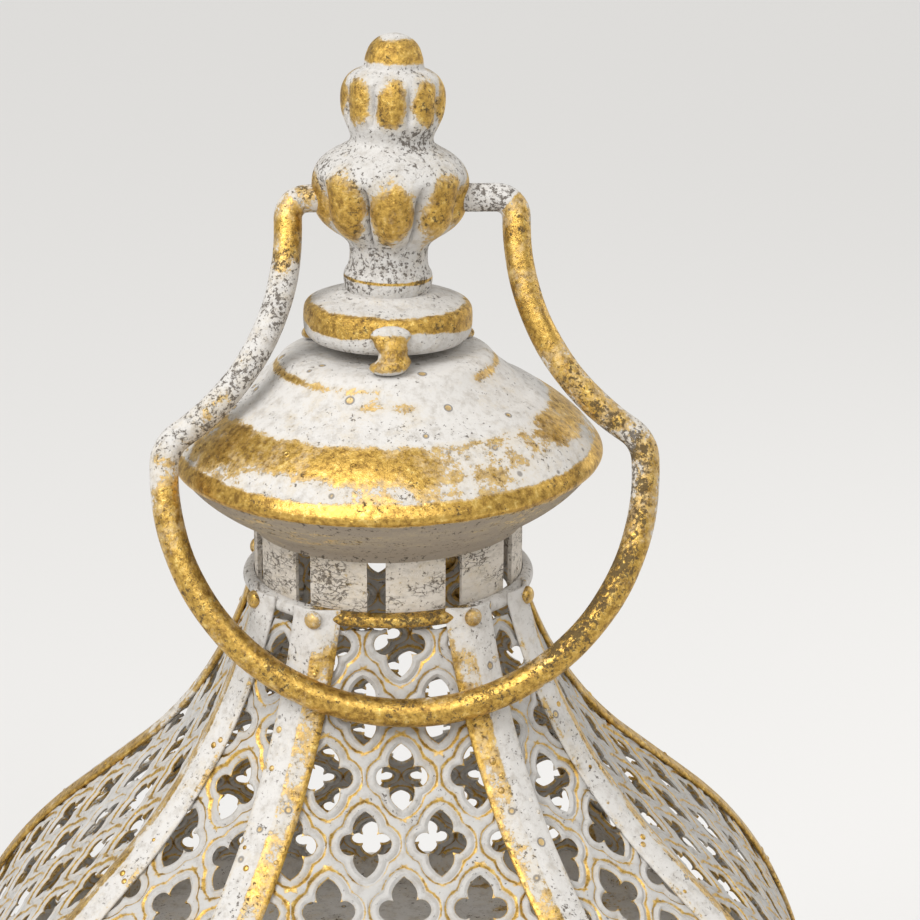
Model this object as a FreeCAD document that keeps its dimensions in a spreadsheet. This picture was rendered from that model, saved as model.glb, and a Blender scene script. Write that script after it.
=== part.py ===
"""Candle lantern with an eight-sided onion roof, a spun crown, a cast finial and a swinging bail.

Millimetres. The origin is on the ground at the middle of the foot circle, +Z is up and the
door faces -Y. Every driving size is one cell of the spreadsheet Dims; sketches and
primitives read it through expressions.
"""
import math
import os

import FreeCAD
import Part
import Sketcher

os.makedirs("parts", exist_ok=True)
doc = FreeCAD.newDocument("candle_lantern")
V = FreeCAD.Vector
Z_AXIS = V(0, 0, 1)

# ---------------------------------------------------------------- driving sizes
SIZES = [
    # overall stack, from the ground up
    ("foot_height", 12.0), ("plinth_height", 16.0), ("body_height", 150.0),
    ("eave_height", 10.0), ("roof_depth", 122.0),
    # plan: corner radii of the octagon, whose corners sit at 30 and 60 degrees
    ("body_radius", 104.0), ("plinth_radius", 112.0), ("eave_radius", 121.4),
    ("corner_angle", 30.0),
    # sheet work
    ("sheet", 0.9), ("fit_gap", 0.15), ("wing_width", 9.0), ("rib_width", 5.6),
    # roof outline at a corner: concave sweep, straight, convex shoulder
    ("roof_top_gap", 1.4), ("sweep_radius", 63.4), ("sweep_depth", 51.4),
    ("crest_radius", 85.3), ("crest_depth", 70.1),
    ("sweep_bulge", 4.5), ("shoulder_bulge", 4.03), ("wide_start", 2.6),
    ("narrow_start", 2.6), ("rib_start", -2.0),
    # pierced quatrefoils
    ("foil_width", 10.0), ("foil_height", 15.0), ("foil_pitch", 15.1), ("row_pitch", 13.3),
    ("foil_margin", 5.0),
    # neck, collar ring and crown
    ("neck_radius", 28.4), ("neck_top", 15.2), ("neck_drop", 1.9), ("slot_width", 3.8),
    ("slot_count", 11), ("slot_turn", 1.3), ("slot_base", 0.9),
    ("slot_height", 11.9), ("ring_width", 1.8), ("ring_height", 2.8),
    ("crown_radius", 45.2), ("crown_rim", 27.5), ("crown_neck", 13.6), ("plate_radius", 20.5),
    ("crown_top", 49.0), ("vent_radius", 3.2), ("vent_circle", 11.5), ("crown_sheet", 0.9),
    # finial
    ("disc_radius", 17.4), ("disc_height", 10.0), ("disc_gap", 2.7),
    ("lug_width", 8.0), ("ball_height", 80.5), ("ball_radius", 16.0),
    ("upper_ball_height", 102.0), ("upper_ball_radius", 10.1), ("neck_waist", 8.0),
    ("tip_height", 114.0), ("tip_radius", 5.6), ("stud_radius", 3.0),
    ("nut_radius", 6.0), ("nut_height", 5.0),
    # bail
    ("rod_radius", 3.0), ("pin_clearance", 0.05), ("stub_reach", 7.5), ("elbow_x", 23.2),
    ("elbow_bend", 4.0), ("leg_drop", 6.0), ("leg_x", 45.3), ("leg_end", 47.7),
    ("loop_radius", 48.6), ("loop_centre", 55.5), ("rest_gap", 1.975),
    ("bail_shift", 3.0),                       # sideways play the stubs have taken up
    # door
    ("door_gap", 0.9), ("door_rail", 9.0), ("door_frame_depth", 1.8), ("hinge_pin_radius", 1.3),
    ("barrel_radius", 2.7), ("barrel_height", 9.0), ("hinge_inset", 24.0),
    ("knob_radius", 5.0), ("knob_reach", 11.0),
    # base
    ("foot_radius", 9.0), ("foot_circle", 86.0), ("pan_radius", 38.0), ("pan_height", 7.0),
    ("pan_sheet", 1.2),
]
sheet = doc.addObject("Spreadsheet::Sheet", "Dims")
for row, (alias, value) in enumerate(SIZES, start=1):
    sheet.set("A%d" % row, alias)
    sheet.set("B%d" % row, str(value))
    sheet.setAlias("B%d" % row, alias)
doc.recompute()
DERIVED = {
    "plinth_base": "Dims.foot_height",
    "floor_top": "Dims.foot_height + Dims.plinth_height",
    "body_top": "Dims.foot_height + Dims.plinth_height + Dims.body_height",
    "roof_base": "Dims.foot_height + Dims.plinth_height + Dims.body_height + Dims.eave_height",
}
DERIVED["ring_z"] = DERIVED["roof_base"] + " + Dims.roof_depth"
RING = "(" + DERIVED["ring_z"] + ")"
RING_R = "(Dims.neck_radius + Dims.ring_width)"       # the collar's outer radius
ROOF_TOP = "(%s + Dims.roof_top_gap)" % RING_R        # the ribs stand just outside it
K_WIDE = "cos(Dims.corner_angle * 1 deg)"
K_NARROW = "cos((45 - Dims.corner_angle) * 1 deg)"


def val(expression):
    """The number an expression gives, whatever unit it carries."""
    result = sheet.evalExpression(str(expression))
    return float(result.Value if hasattr(result, "Value") else result)


PIECES = []


def piece(obj, label):
    obj.Label = label
    PIECES.append(obj)
    return obj


# ---------------------------------------------------------------- sketch helpers
def bind(sketch, kind, geometry, point, expression):
    """Dimension one point of the sketch from the origin by an expression."""
    number = val(expression)
    i = sketch.addConstraint(Sketcher.Constraint(kind, -1, 1, geometry, point, number))
    sketch.setExpression("Constraints[%d]" % i, str(expression))


def outline(sketch, points, closed=True):
    """A loop or path through (x, z) expressions; a third item is an arc's mid point."""
    numbers = [(val(p[0]), val(p[1])) for p in points]
    first = sketch.GeometryCount
    pieces = points if closed else points[:-1]
    for i, p in enumerate(pieces):
        a, b = numbers[i], numbers[(i + 1) % len(points)]
        if len(p) > 2:
            mid = (val(p[2][0]), val(p[2][1]))
            arc = Part.Arc(V(a[0], a[1], 0), V(mid[0], mid[1], 0), V(b[0], b[1], 0))
            sketch.addGeometry(arc, False)
        else:
            sketch.addGeometry(Part.LineSegment(V(a[0], a[1], 0), V(b[0], b[1], 0)), False)
    ends = []
    for i, p in enumerate(pieces):
        start_point, end_point = 1, 2
        if len(p) > 2:                       # an arc's stored ends run anticlockwise
            a = numbers[i]
            s = sketch.getPoint(first + i, 1)
            if abs(s.x - a[0]) + abs(s.y - a[1]) > 1e-6:
                start_point, end_point = 2, 1
        ends.append((first + i, start_point, end_point))
    for i in range(len(pieces) if closed else len(pieces) - 1):
        g, _, e = ends[i]
        h, s, _ = ends[(i + 1) % len(pieces)]
        sketch.addConstraint(Sketcher.Constraint("Coincident", g, e, h, s))
    if not closed:
        bind(sketch, "DistanceX", ends[-1][0], ends[-1][2], points[-1][0])
        bind(sketch, "DistanceY", ends[-1][0], ends[-1][2], points[-1][1])
    for i, p in enumerate(pieces):
        g, s, _ = ends[i]
        bind(sketch, "DistanceX", g, s, p[0])
        bind(sketch, "DistanceY", g, s, p[1])
        if len(p) > 2:
            m = sketch.addGeometry(Part.Point(V(val(p[2][0]), val(p[2][1]), 0)), True)
            bind(sketch, "DistanceX", m, 1, p[2][0])
            bind(sketch, "DistanceY", m, 1, p[2][1])
            sketch.addConstraint(Sketcher.Constraint("PointOnObject", m, 1, g))
    return sketch


def body(name):
    return doc.addObject("PartDesign::Body", name)


def plane(owner, role):
    return next(f for f in owner.Origin.OriginFeatures if f.Role == role)


def sketch_on(owner, role, name, height=None):
    sk = owner.newObject("Sketcher::SketchObject", name)
    sk.AttachmentSupport = [(plane(owner, role), "")]
    sk.MapMode = "FlatFace"
    if height is not None:
        sk.AttachmentOffset = FreeCAD.Placement(V(0, 0, val(height)), FreeCAD.Rotation())
        sk.setExpression("AttachmentOffset.Base.z", str(height))
    return sk


def turned(name, points):
    """A body of revolution about Z from a closed (radius, height) outline."""
    b = body(name)
    sk = outline(sketch_on(b, "XZ_Plane", name + "_profile"), points)
    rev = b.newObject("PartDesign::Revolution", name + "_turned")
    rev.Profile = sk
    rev.ReferenceAxis = (sk, ["V_Axis"])
    rev.Angle = 360
    return b


def pad(owner, sketch, name, length, midplane=False):
    p = owner.newObject("PartDesign::Pad", name)
    p.Profile = sketch
    p.Length = val(length)
    p.setExpression("Length", str(length))
    p.Midplane = midplane
    return p


def pocket(owner, sketch, name, length, midplane=False):
    p = owner.newObject("PartDesign::Pocket", name)
    p.Profile = sketch
    p.Length = val(length)
    p.setExpression("Length", str(length))
    p.Midplane = midplane
    return p


def corners(radius):
    """The eight corners, as expressions, going round from the front-right one."""
    a = "Dims.corner_angle"
    angles = ["-90 + " + a, "-" + a, a, "90 - " + a, "90 + " + a, "180 - " + a,
              "180 + " + a, "270 - " + a]
    return [("(%s) * cos((%s) * 1 deg)" % (radius, t), "(%s) * sin((%s) * 1 deg)" % (radius, t))
            for t in angles]


def octagon(owner, name, height, *radii):
    sk = sketch_on(owner, "XY_Plane", name, height)
    for r in radii:
        outline(sk, corners(r))
    return sk


def box(name, length, width, height, x, y, z):
    b = doc.addObject("Part::Box", name)
    for prop, expr in (("Length", length), ("Width", width), ("Height", height),
                       ("Placement.Base.x", x), ("Placement.Base.y", y),
                       ("Placement.Base.z", z)):
        b.setExpression(prop, str(expr))
    return b


def cylinder(name, radius, height, z, x="0", y="0"):
    c = doc.addObject("Part::Cylinder", name)
    for prop, expr in (("Radius", radius), ("Height", height), ("Placement.Base.x", x),
                       ("Placement.Base.y", y), ("Placement.Base.z", z)):
        c.setExpression(prop, str(expr))
    return c


def lying(cyl, axis):
    """Turn a cylinder to lie along an axis, keeping its bound start point."""
    cyl.Placement.Rotation = FreeCAD.Rotation(Z_AXIS, axis)
    return cyl


def fuse(name, shapes):
    f = doc.addObject("Part::MultiFuse", name)
    f.Shapes = shapes
    return f


def cut(name, base, tool):
    c = doc.addObject("Part::Cut", name)
    c.Base, c.Tool = base, tool
    return c


def common(name, a, b):
    c = doc.addObject("Part::MultiCommon", name)
    c.Shapes = [a, b]
    return c


def turned_copy(master, label, degrees, mirrored=False):
    """The same finished piece at another side of the lantern."""
    doc.recompute()
    shape = master.Shape.copy()
    if mirrored:
        shape = shape.mirror(V(0, 0, 0), V(1, 0, 0))
    copy = doc.addObject("Part::Feature", label)
    copy.Shape = Part.Solid(shape.Solids[0]) if shape.Solids else shape
    copy.Placement = FreeCAD.Placement(V(0, 0, 0), FreeCAD.Rotation(Z_AXIS, degrees))
    return piece(copy, label)


# ---------------------------------------------------------------- base
plinth = body("base_plinth")
pad(plinth, octagon(plinth, "plinth_plan", "Dims.foot_height", "Dims.plinth_radius"),
    "plinth_block", "Dims.plinth_height")
hollow = pocket(plinth, octagon(plinth, "plinth_hollow", "Dims.foot_height",
                                "Dims.plinth_radius - 2 * Dims.sheet"),
                "plinth_underside", "Dims.plinth_height - 3 * Dims.sheet")
hollow.Reversed = True
piece(plinth, "base_plinth")

foot_master = turned("foot_front_right", [
    ("0", "0"), ("Dims.foot_radius * 0.55", "0",
                 ("Dims.foot_radius * 0.98", "Dims.foot_height * 0.3")),
    ("Dims.foot_radius * 0.62", "Dims.foot_height * 0.72"),
    ("Dims.foot_radius * 0.8", "Dims.foot_height"),
    ("0", "Dims.foot_height")])
piece(foot_master, "foot_front_right")
for prop, sign in (("x", ""), ("y", "-")):
    foot_master.setExpression("Placement.Base." + prop,
                              sign + "Dims.foot_circle * cos(45 deg)")
for label, turn in (("foot_back_right", 90), ("foot_back_left", 180), ("foot_front_left", 270)):
    turned_copy(foot_master, label, turn)

pan_floor = DERIVED["floor_top"]
candle_pan = turned("candle_pan", [
    ("0", pan_floor), ("Dims.pan_radius - 3", pan_floor),
    ("Dims.pan_radius", pan_floor + " + Dims.pan_height"),
    ("Dims.pan_radius - Dims.pan_sheet", pan_floor + " + Dims.pan_height"),
    ("Dims.pan_radius - 3 - Dims.pan_sheet", pan_floor + " + Dims.pan_sheet"),
    ("0", pan_floor + " + Dims.pan_sheet")])
piece(candle_pan, "candle_pan")

# ---------------------------------------------------------------- corner posts
# A post is an open angle of sheet lapping outside a wide and a narrow panel.
doc.recompute()


def angle_plan(sk, radius, reach):
    """The folded angle at the corner 30 degrees from +Y, wings along both faces."""
    a = "(Dims.corner_angle * 1 deg)"
    outer = "(%s + Dims.sheet + Dims.fit_gap)" % radius
    inner = "(%s + Dims.fit_gap)" % radius
    def tip(r, along_wide, depth):
        x, y = "%s * sin%s" % (r, a), "%s * cos%s" % (r, a)
        if along_wide:
            return ("%s - %s" % (x, reach), y)
        return ("%s + %s * cos(45 deg)" % (x, reach), "%s - %s * sin(45 deg)" % (y, reach))
    return outline(sk, [tip(outer, True, 0), ("%s * sin%s" % (outer, a), "%s * cos%s" % (outer, a)),
                        tip(outer, False, 0), tip(inner, False, 0),
                        ("%s * sin%s" % (inner, a), "%s * cos%s" % (inner, a)),
                        tip(inner, True, 0)])


post_master = body("post_back_right")
angle_plan(sketch_on(post_master, "XY_Plane", "post_plan", DERIVED["floor_top"]),
           "Dims.body_radius", "Dims.wing_width")
pad(post_master, post_master.Group[-1], "post_length", "Dims.body_height")
piece(post_master, "post_back_right")
doc.recompute()
POSTS = [("post_right_front", 270, False), ("post_front_left", 180, False),
         ("post_left_back", 90, False), ("post_back_left", 0, True),
         ("post_right_back", 270, True), ("post_front_right", 180, True),
         ("post_left_front", 90, True)]
for label, turn, mirrored in POSTS:
    turned_copy(post_master, label, turn, mirrored)


# ---------------------------------------------------------------- pierced panels
def foil_tool(depth):
    """A quatrefoil prism along +Z: round side lobes, pointed upper and lower lobes."""
    w, t = val("Dims.foil_width") / 2, val("Dims.foil_height") / 2
    r = 0.36 * w                                     # side lobe radius
    c = 0.34 * w                                     # cusps stand this far from the axes
    pts_right = [V(c, c * 1.15, 0), V(w, 0, 0), V(c, -c * 1.15, 0)]
    edges = [Part.Arc(*pts_right).toShape(),
             Part.Arc(V(c, -c * 1.15, 0), V(c * 1.35, -t * 0.55, 0), V(0, -t, 0)).toShape(),
             Part.Arc(V(0, -t, 0), V(-c * 1.35, -t * 0.55, 0), V(-c, -c * 1.15, 0)).toShape(),
             Part.Arc(V(-c, -c * 1.15, 0), V(-w, 0, 0), V(-c, c * 1.15, 0)).toShape(),
             Part.Arc(V(-c, c * 1.15, 0), V(-c * 1.35, t * 0.55, 0), V(0, t, 0)).toShape(),
             Part.Arc(V(0, t, 0), V(c * 1.35, t * 0.55, 0), V(c, c * 1.15, 0)).toShape()]
    for edge in edges:
        edge.translate(V(0, 0, -depth / 2))
    return Part.Face(Part.Wire(Part.__sortEdges__(edges))).extrude(V(0, 0, depth))


def foil_grid(half_width_at, first, last, place):
    """Staggered rows of foils between two heights, kept inside the panel's edges."""
    pitch, rise = val("Dims.foil_pitch"), val("Dims.row_pitch")
    keep = val("Dims.foil_width") / 2 + val("Dims.foil_margin")
    rows = max(1, int((last - first - val("Dims.foil_height")) // rise) + 1)
    start = (first + last - (rows - 1) * rise) / 2
    tools = []
    for i in range(rows):
        s = start + i * rise
        offset = 0.5 * pitch if i % 2 else 0.0
        reach = half_width_at(s) - keep
        n = -int((reach + offset) // pitch)
        u = n * pitch + offset
        while u <= reach + 1e-6:
            if abs(u) <= reach + 1e-6:
                tool = foil_tool(12.0)
                tool.Placement = place(u, s)
                tools.append(tool)
            u += pitch
    return tools


def pierced(name, blank, tools):
    holes = doc.addObject("Part::Feature", name + "_holes")
    holes.Shape = Part.makeCompound(tools)
    return cut(name, blank, holes)


def flat_panel(name, k, half):
    """A flat body panel facing -Y; half is its half width between corner folds."""
    top, floor = DERIVED["body_top"], DERIVED["floor_top"]
    width = "(2 * (%s) - 2 * Dims.fit_gap)" % half
    face = "(Dims.body_radius * %s)" % k
    blank = box(name + "_blank", width, "Dims.sheet", "Dims.body_height",
                "-0.5 * " + width, "-" + face, floor)
    z0, z1, y = val(floor), val(top), -val(face)
    w = val(width) / 2 - val("Dims.wing_width") + val("Dims.foil_margin") - 1.0
    turn = FreeCAD.Rotation(V(1, 0, 0), 90)
    return pierced(name, blank, foil_grid(
        lambda s: w, z0 + 10, z1 - 10, lambda u, s: FreeCAD.Placement(V(u, y, s), turn)))


doc.recompute()
HALF_WIDE = "Dims.body_radius * sin(Dims.corner_angle * 1 deg)"
HALF_NARROW = "Dims.body_radius * sin((45 - Dims.corner_angle) * 1 deg)"
wide_master = flat_panel("panel_wide_master", K_WIDE, HALF_WIDE + " - 0.6 * Dims.sheet")
narrow_master = flat_panel("panel_narrow_master", K_NARROW, HALF_NARROW + " - 0.6 * Dims.sheet")
for label, turn in (("body_panel_right", 90), ("body_panel_back", 180), ("body_panel_left", 270)):
    turned_copy(wide_master, label, turn)
for label, turn in (("body_panel_front_right", 45), ("body_panel_back_right", 135),
                    ("body_panel_back_left", 225), ("body_panel_front_left", 315)):
    turned_copy(narrow_master, label, turn)

# ---------------------------------------------------------------- eave band
eave = body("eave_band")
eave_plan = octagon(eave, "eave_plan", DERIVED["body_top"],
                    "Dims.eave_radius + 1.5 * Dims.sheet", "Dims.eave_radius")
pad(eave, eave_plan, "eave_wall", "Dims.eave_height")
flange = octagon(eave, "eave_flange", DERIVED["body_top"], "Dims.eave_radius + Dims.sheet",
                 "Dims.body_radius - Dims.wing_width")
pad(eave, flange, "eave_flange_plate", "Dims.sheet")
piece(eave, "eave_band")


# ---------------------------------------------------------------- roof
def roof_sheet(name, k, shift, thickness, start, half_width):
    """A curved sheet facing -Y: the corner outline scaled onto the panel's own face."""
    def point(radius, depth, out):
        return ("(%s) * %s + %s" % (radius, k, out), "%s - (%s)" % (RING, depth))
    def mid(r0, d0, r1, d1, bulge, out):
        run = "sqrt(((%s) - (%s)) ^ 2 + ((%s) - (%s)) ^ 2)" % (r1, r0, d1, d0)
        r = "0.5 * ((%s) + (%s)) + (%s) * ((%s) - (%s)) / %s" % (r0, r1, bulge, d1, d0, run)
        d = "0.5 * ((%s) + (%s)) - (%s) * ((%s) - (%s)) / %s" % (d0, d1, bulge, r1, r0, run)
        return point(r, d, out)
    r0, d0, lap = ROOF_TOP, "0", "-2 * Dims.ring_height"
    r1, d1 = "Dims.sweep_radius", "Dims.sweep_depth"
    r2, d2 = "Dims.crest_radius", "Dims.crest_depth"
    r3, d3 = "Dims.eave_radius", "Dims.roof_depth"
    outer, inner = shift, "(%s - %s)" % (shift, thickness)
    loop = [point(r0, d0, outer) + (mid(r0, d0, r1, d1, "-Dims.sweep_bulge", outer),),
            point(r1, d1, outer), point(r2, d2, outer) +
            (mid(r2, d2, r3, d3, "Dims.shoulder_bulge", outer),),
            point(r3, d3, outer),
            point(r3, d3, inner) + (mid(r2, d2, r3, d3, "Dims.shoulder_bulge", inner),),
            point(r2, d2, inner),
            point(r1, d1, inner) + (mid(r0, d0, r1, d1, "-Dims.sweep_bulge", inner),),
            point(r0, d0, inner), point(r0, lap, inner), point(r0, lap, outer)]
    b = body(name)
    sk = outline(sketch_on(b, "XZ_Plane", name + "_profile"), loop)
    pad(b, sk, name + "_sheet", "2 * Dims.eave_radius", midplane=True)
    trim = sketch_on(b, "XY_Plane", name + "_trim_plan", DERIVED["roof_base"] + " - 1")
    far = "3 * Dims.eave_radius"
    outline(trim, [("-" + far, "-" + far), (far, "-" + far), (far, far), ("-" + far, far)])
    a = "tan(%s)" % half_width[0]
    edge = half_width[1]
    outline(trim, [("1", "0.02"), ("2 * Dims.eave_radius",
                                   "2 * Dims.eave_radius * %s - %s" % (a, edge)),
                   ("2 * Dims.eave_radius", "-2 * Dims.eave_radius * %s + %s" % (a, edge)),
                   ("1", "-0.02")])
    wedge = pocket(b, trim, name + "_trim", "2 * Dims.roof_depth")
    wedge.Reversed = True
    top = sketch_on(b, "XY_Plane", name + "_top_plan", "%s - (%s)" % (RING, start))
    outline(top, [("-" + far, "-" + far), (far, "-" + far), (far, far), ("-" + far, far)])
    head = pocket(b, top, name + "_top", "Dims.roof_depth")
    head.Reversed = True
    return b


def surface_frame(k):
    """Arc length along the panel's outline, with the place and tilt at each step."""
    r = [val(n) for n in (ROOF_TOP, "Dims.sweep_radius", "Dims.crest_radius",
                          "Dims.eave_radius")]
    d = [0.0, val("Dims.sweep_depth"), val("Dims.crest_depth"), val("Dims.roof_depth")]
    kk = val(k)
    steps = []
    for i, bulge in ((0, -val("Dims.sweep_bulge")), (1, 0.0), (2, val("Dims.shoulder_bulge"))):
        dr, dd = r[i + 1] - r[i], d[i + 1] - d[i]
        run = math.hypot(dr, dd)
        for j in range(40):
            t = j / 40.0
            sag = 4 * t * (1 - t) * bulge
            steps.append(((r[i] + dr * t + sag * dd / run) * kk, d[i] + dd * t - sag * dr / run))
    steps.append((r[3] * kk, d[3]))
    lengths = [0.0]
    for p, q in zip(steps, steps[1:]):
        lengths.append(lengths[-1] + math.hypot(q[0] - p[0], q[1] - p[1]))
    return steps, lengths


def curved_panel(name, k, half_angle, start):
    blank = roof_sheet(name + "_blank", k, "0", "Dims.sheet", start,
                       (half_angle, "Dims.fit_gap"))
    steps, lengths = surface_frame(k)
    ring_z = val(RING)
    slope = math.tan(math.radians(val(half_angle)))
    def at(s):
        i = max(j for j in range(len(lengths) - 1) if lengths[j] <= s + 1e-9)
        t = (s - lengths[i]) / (lengths[i + 1] - lengths[i])
        p, q = steps[i], steps[i + 1]
        angle = math.atan2(q[1] - p[1], q[0] - p[0])
        return p[0] + (q[0] - p[0]) * t, p[1] + (q[1] - p[1]) * t, angle
    def place(u, s):
        x, depth, angle = at(s)
        tilt = FreeCAD.Rotation(V(0, 1, 0), 90 - math.degrees(angle) + 0.0)
        lay = FreeCAD.Rotation(V(0, 0, 1), V(0, 0, 1))
        stand = FreeCAD.Rotation(V(0, 1, 0), 90)
        spin = FreeCAD.Rotation(V(0, 0, 1), 90)
        turn = FreeCAD.Rotation(V(0, 1, 0), -(90 - math.degrees(angle)))
        return FreeCAD.Placement(V(x, u, ring_z - depth), turn * stand * spin * lay)
    first = next(l for s, l in zip(steps, lengths) if s[1] >= val(start)) + 3.0
    tools = foil_grid(lambda s: at(s)[0] * slope, first, lengths[-1] - 4.0, place)
    return pierced(name, blank, tools)


doc.recompute()
WIDE_ANGLE = "(Dims.corner_angle * 1 deg)"
NARROW_ANGLE = "((45 - Dims.corner_angle) * 1 deg)"
roof_wide = curved_panel("roof_wide_master", K_WIDE, WIDE_ANGLE, "Dims.wide_start")
roof_narrow = curved_panel("roof_narrow_master", K_NARROW, NARROW_ANGLE, "Dims.narrow_start")
for label, turn in (("roof_panel_front", -90), ("roof_panel_right", 0),
                    ("roof_panel_back", 90), ("roof_panel_left", 180)):
    turned_copy(roof_wide, label, turn)
for label, turn in (("roof_panel_front_right", -45), ("roof_panel_back_right", 45),
                    ("roof_panel_back_left", 135), ("roof_panel_front_left", -135)):
    turned_copy(roof_narrow, label, turn)

# Each rib is folded along the corner: one wing follows the wide face, one the narrow.
LIFT = "Dims.sheet + Dims.fit_gap"
wing_wide = roof_sheet("rib_wing_wide", K_WIDE, "(%s)" % LIFT, "Dims.sheet", "Dims.rib_start",
                       (WIDE_ANGLE, "0"))
wing_narrow = roof_sheet("rib_wing_narrow", K_NARROW, "(%s)" % LIFT, "Dims.sheet",
                         "Dims.rib_start", (NARROW_ANGLE, "0"))


def strip_box(name, side):
    """A slab on one side of the upright plane through the corner fold."""
    b = box(name, "2 * Dims.eave_radius", "Dims.rib_width", "2 * Dims.roof_depth", "0", "0",
            DERIVED["roof_base"] + " - 1")
    b.Placement.Rotation = FreeCAD.Rotation(Z_AXIS, val("Dims.corner_angle"))
    if side < 0:
        b.setExpression("Placement.Base.x", "Dims.rib_width * sin(Dims.corner_angle * 1 deg)")
        b.setExpression("Placement.Base.y", "-Dims.rib_width * cos(Dims.corner_angle * 1 deg)")
    return b


def neck_clear(name):
    """Room for the collar ring and sleeve inside the ribs' upper ends."""
    return cylinder(name, RING_R + " + Dims.fit_gap", "3 * Dims.ring_height",
                    "%s - 0.5 * Dims.ring_height - Dims.fit_gap" % RING)


doc.recompute()
narrow_turned = doc.addObject("Part::Feature", "rib_wing_narrow_turned")
narrow_turned.Shape = wing_narrow.Shape
narrow_turned.Placement = FreeCAD.Placement(V(0, 0, 0), FreeCAD.Rotation(Z_AXIS, 45))
wing_a = common("rib_wing_a", wing_wide, strip_box("rib_slab_wide", -1))
wing_b = common("rib_wing_b", narrow_turned, strip_box("rib_slab_narrow", 1))
rivet = doc.addObject("Part::Sphere", "rib_rivet")
rivet.Radius = 1.9
RIVET_R = "(%s + 2 * Dims.sheet)" % ROOF_TOP
rivet.setExpression("Placement.Base.x", RIVET_R + " * cos(Dims.corner_angle * 1 deg)")
rivet.setExpression("Placement.Base.y", RIVET_R + " * sin(Dims.corner_angle * 1 deg)")
rivet.setExpression("Placement.Base.z", RING)
rib_raw = fuse("rib_raw", [wing_a, wing_b, rivet])
rib_master = cut("rib_master", rib_raw, neck_clear("rib_neck_clear"))
doc.recompute()
for label, turn, mirrored in (
        ("roof_rib_right_back", 0, False), ("roof_rib_back_left", 90, False),
        ("roof_rib_left_front", 180, False), ("roof_rib_front_right", 270, False),
        ("roof_rib_left_back", 0, True), ("roof_rib_front_left", 90, True),
        ("roof_rib_right_front", 180, True), ("roof_rib_back_right", 270, True)):
    turned_copy(rib_master, label, turn, mirrored)

# ---------------------------------------------------------------- neck and collar ring
sleeve_bottom = "%s - Dims.neck_drop" % RING
sleeve_wall = turned("neck_sleeve_wall", [
    ("Dims.neck_radius - Dims.sheet", sleeve_bottom), ("Dims.neck_radius", sleeve_bottom),
    ("Dims.neck_radius", RING + " + Dims.neck_top"),
    ("Dims.neck_radius - Dims.sheet", RING + " + Dims.neck_top")])
slots = []
for i in range(int(val("Dims.slot_count"))):
    slot = box("draught_slot_%d" % (i + 1), "4 * Dims.sheet", "Dims.slot_width",
               "Dims.slot_height", "0", "0", RING + " + Dims.slot_base")
    turn = val("Dims.slot_turn") + 360.0 / val("Dims.slot_count") * i
    slot.Placement.Rotation = FreeCAD.Rotation(Z_AXIS, turn)
    reach, half = "(Dims.neck_radius - 2.5 * Dims.sheet)", "0.5 * Dims.slot_width"
    slot.setExpression("Placement.Base.x", "%s * cos(%g deg) + %s * sin(%g deg)"
                       % (reach, turn, half, turn))
    slot.setExpression("Placement.Base.y", "%s * sin(%g deg) - %s * cos(%g deg)"
                       % (reach, turn, half, turn))
    slots.append(slot)
sleeve = cut("neck_sleeve", sleeve_wall, fuse("draught_slots", slots))
piece(sleeve, "neck_sleeve")

HALF_RING = "0.5 * Dims.ring_height"
ring_bore = "Dims.neck_radius + 0.5 * Dims.fit_gap"
collar = turned("collar_ring", [
    (ring_bore, "%s - %s" % (RING, HALF_RING)),
    (ring_bore + " + 0.4", "%s - %s" % (RING, HALF_RING), (RING_R, RING)),
    (ring_bore + " + 0.4", "%s + %s" % (RING, HALF_RING)),
    (ring_bore, "%s + %s" % (RING, HALF_RING))])
piece(collar, "collar_ring")

# ---------------------------------------------------------------- crown
TOP = "(%s + Dims.crown_top)" % RING
RIM = "(%s + Dims.crown_rim)" % RING
WALL = "Dims.crown_sheet"


def crown_line(inset):
    """The crown's upper outline from the plate's edge down to the rim, offset inwards."""
    return [("Dims.plate_radius - %s * 0.4" % inset, "%s - %s" % (TOP, inset),
             ("Dims.plate_radius + 2.1 - %s * 0.7" % inset, "%s - 1.2 - %s * 0.8" % (TOP, inset))),
            ("Dims.plate_radius + 3.4 - %s" % inset, "%s - 3.4 - %s * 0.3" % (TOP, inset)),
            ("Dims.plate_radius + 8.6 - %s * 0.7" % inset, "%s - 7.6 - %s * 0.7" % (TOP, inset)),
            ("Dims.plate_radius + 10.9 - %s * 0.7" % inset, "%s - 8.9 - %s * 0.7" % (TOP, inset),
             ("Dims.plate_radius + 17.4 - %s * 0.7" % inset,
              "%s - 13.0 - %s * 0.7" % (TOP, inset))),
            ("Dims.crown_radius - 1.2 - %s * 0.8" % inset, "%s + 3.4 - %s * 0.5" % (RIM, inset)),
            ("Dims.crown_radius - %s" % inset, "%s + 0.2" % RIM)]


crown_solid = turned("crown_shell", [("0", TOP)] + crown_line("0")
                     + [("Dims.crown_radius - 0.2", RIM),
                        ("Dims.crown_radius - %s - 0.4" % WALL, RIM)]
                     + [("0", TOP + " - 30")])
crown_void = turned("crown_inside", [("0", TOP + " - " + WALL)] + crown_line("(%s)" % WALL)
                    + [("Dims.crown_radius - %s - 0.2" % WALL, RIM + " - 1"),
                       ("0", TOP + " - 32")])
vents = []
for i in range(6):
    vents.append(cylinder("vent_%d" % (i + 1), "Dims.vent_radius", "4 * " + WALL,
                          TOP + " - 2 * " + WALL,
                          "Dims.vent_circle * cos(%d deg)" % (60 * i + 30),
                          "Dims.vent_circle * sin(%d deg)" % (60 * i + 30)))
stud_hole = cylinder("crown_stud_hole", "Dims.stud_radius + 2 * Dims.pin_clearance",
                     "4 * " + WALL, TOP + " - 2 * " + WALL)
crown_cuts = fuse("crown_cuts", [crown_void, stud_hole] + vents)
crown = cut("crown_top", crown_solid, crown_cuts)
piece(crown, "crown_top")

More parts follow.
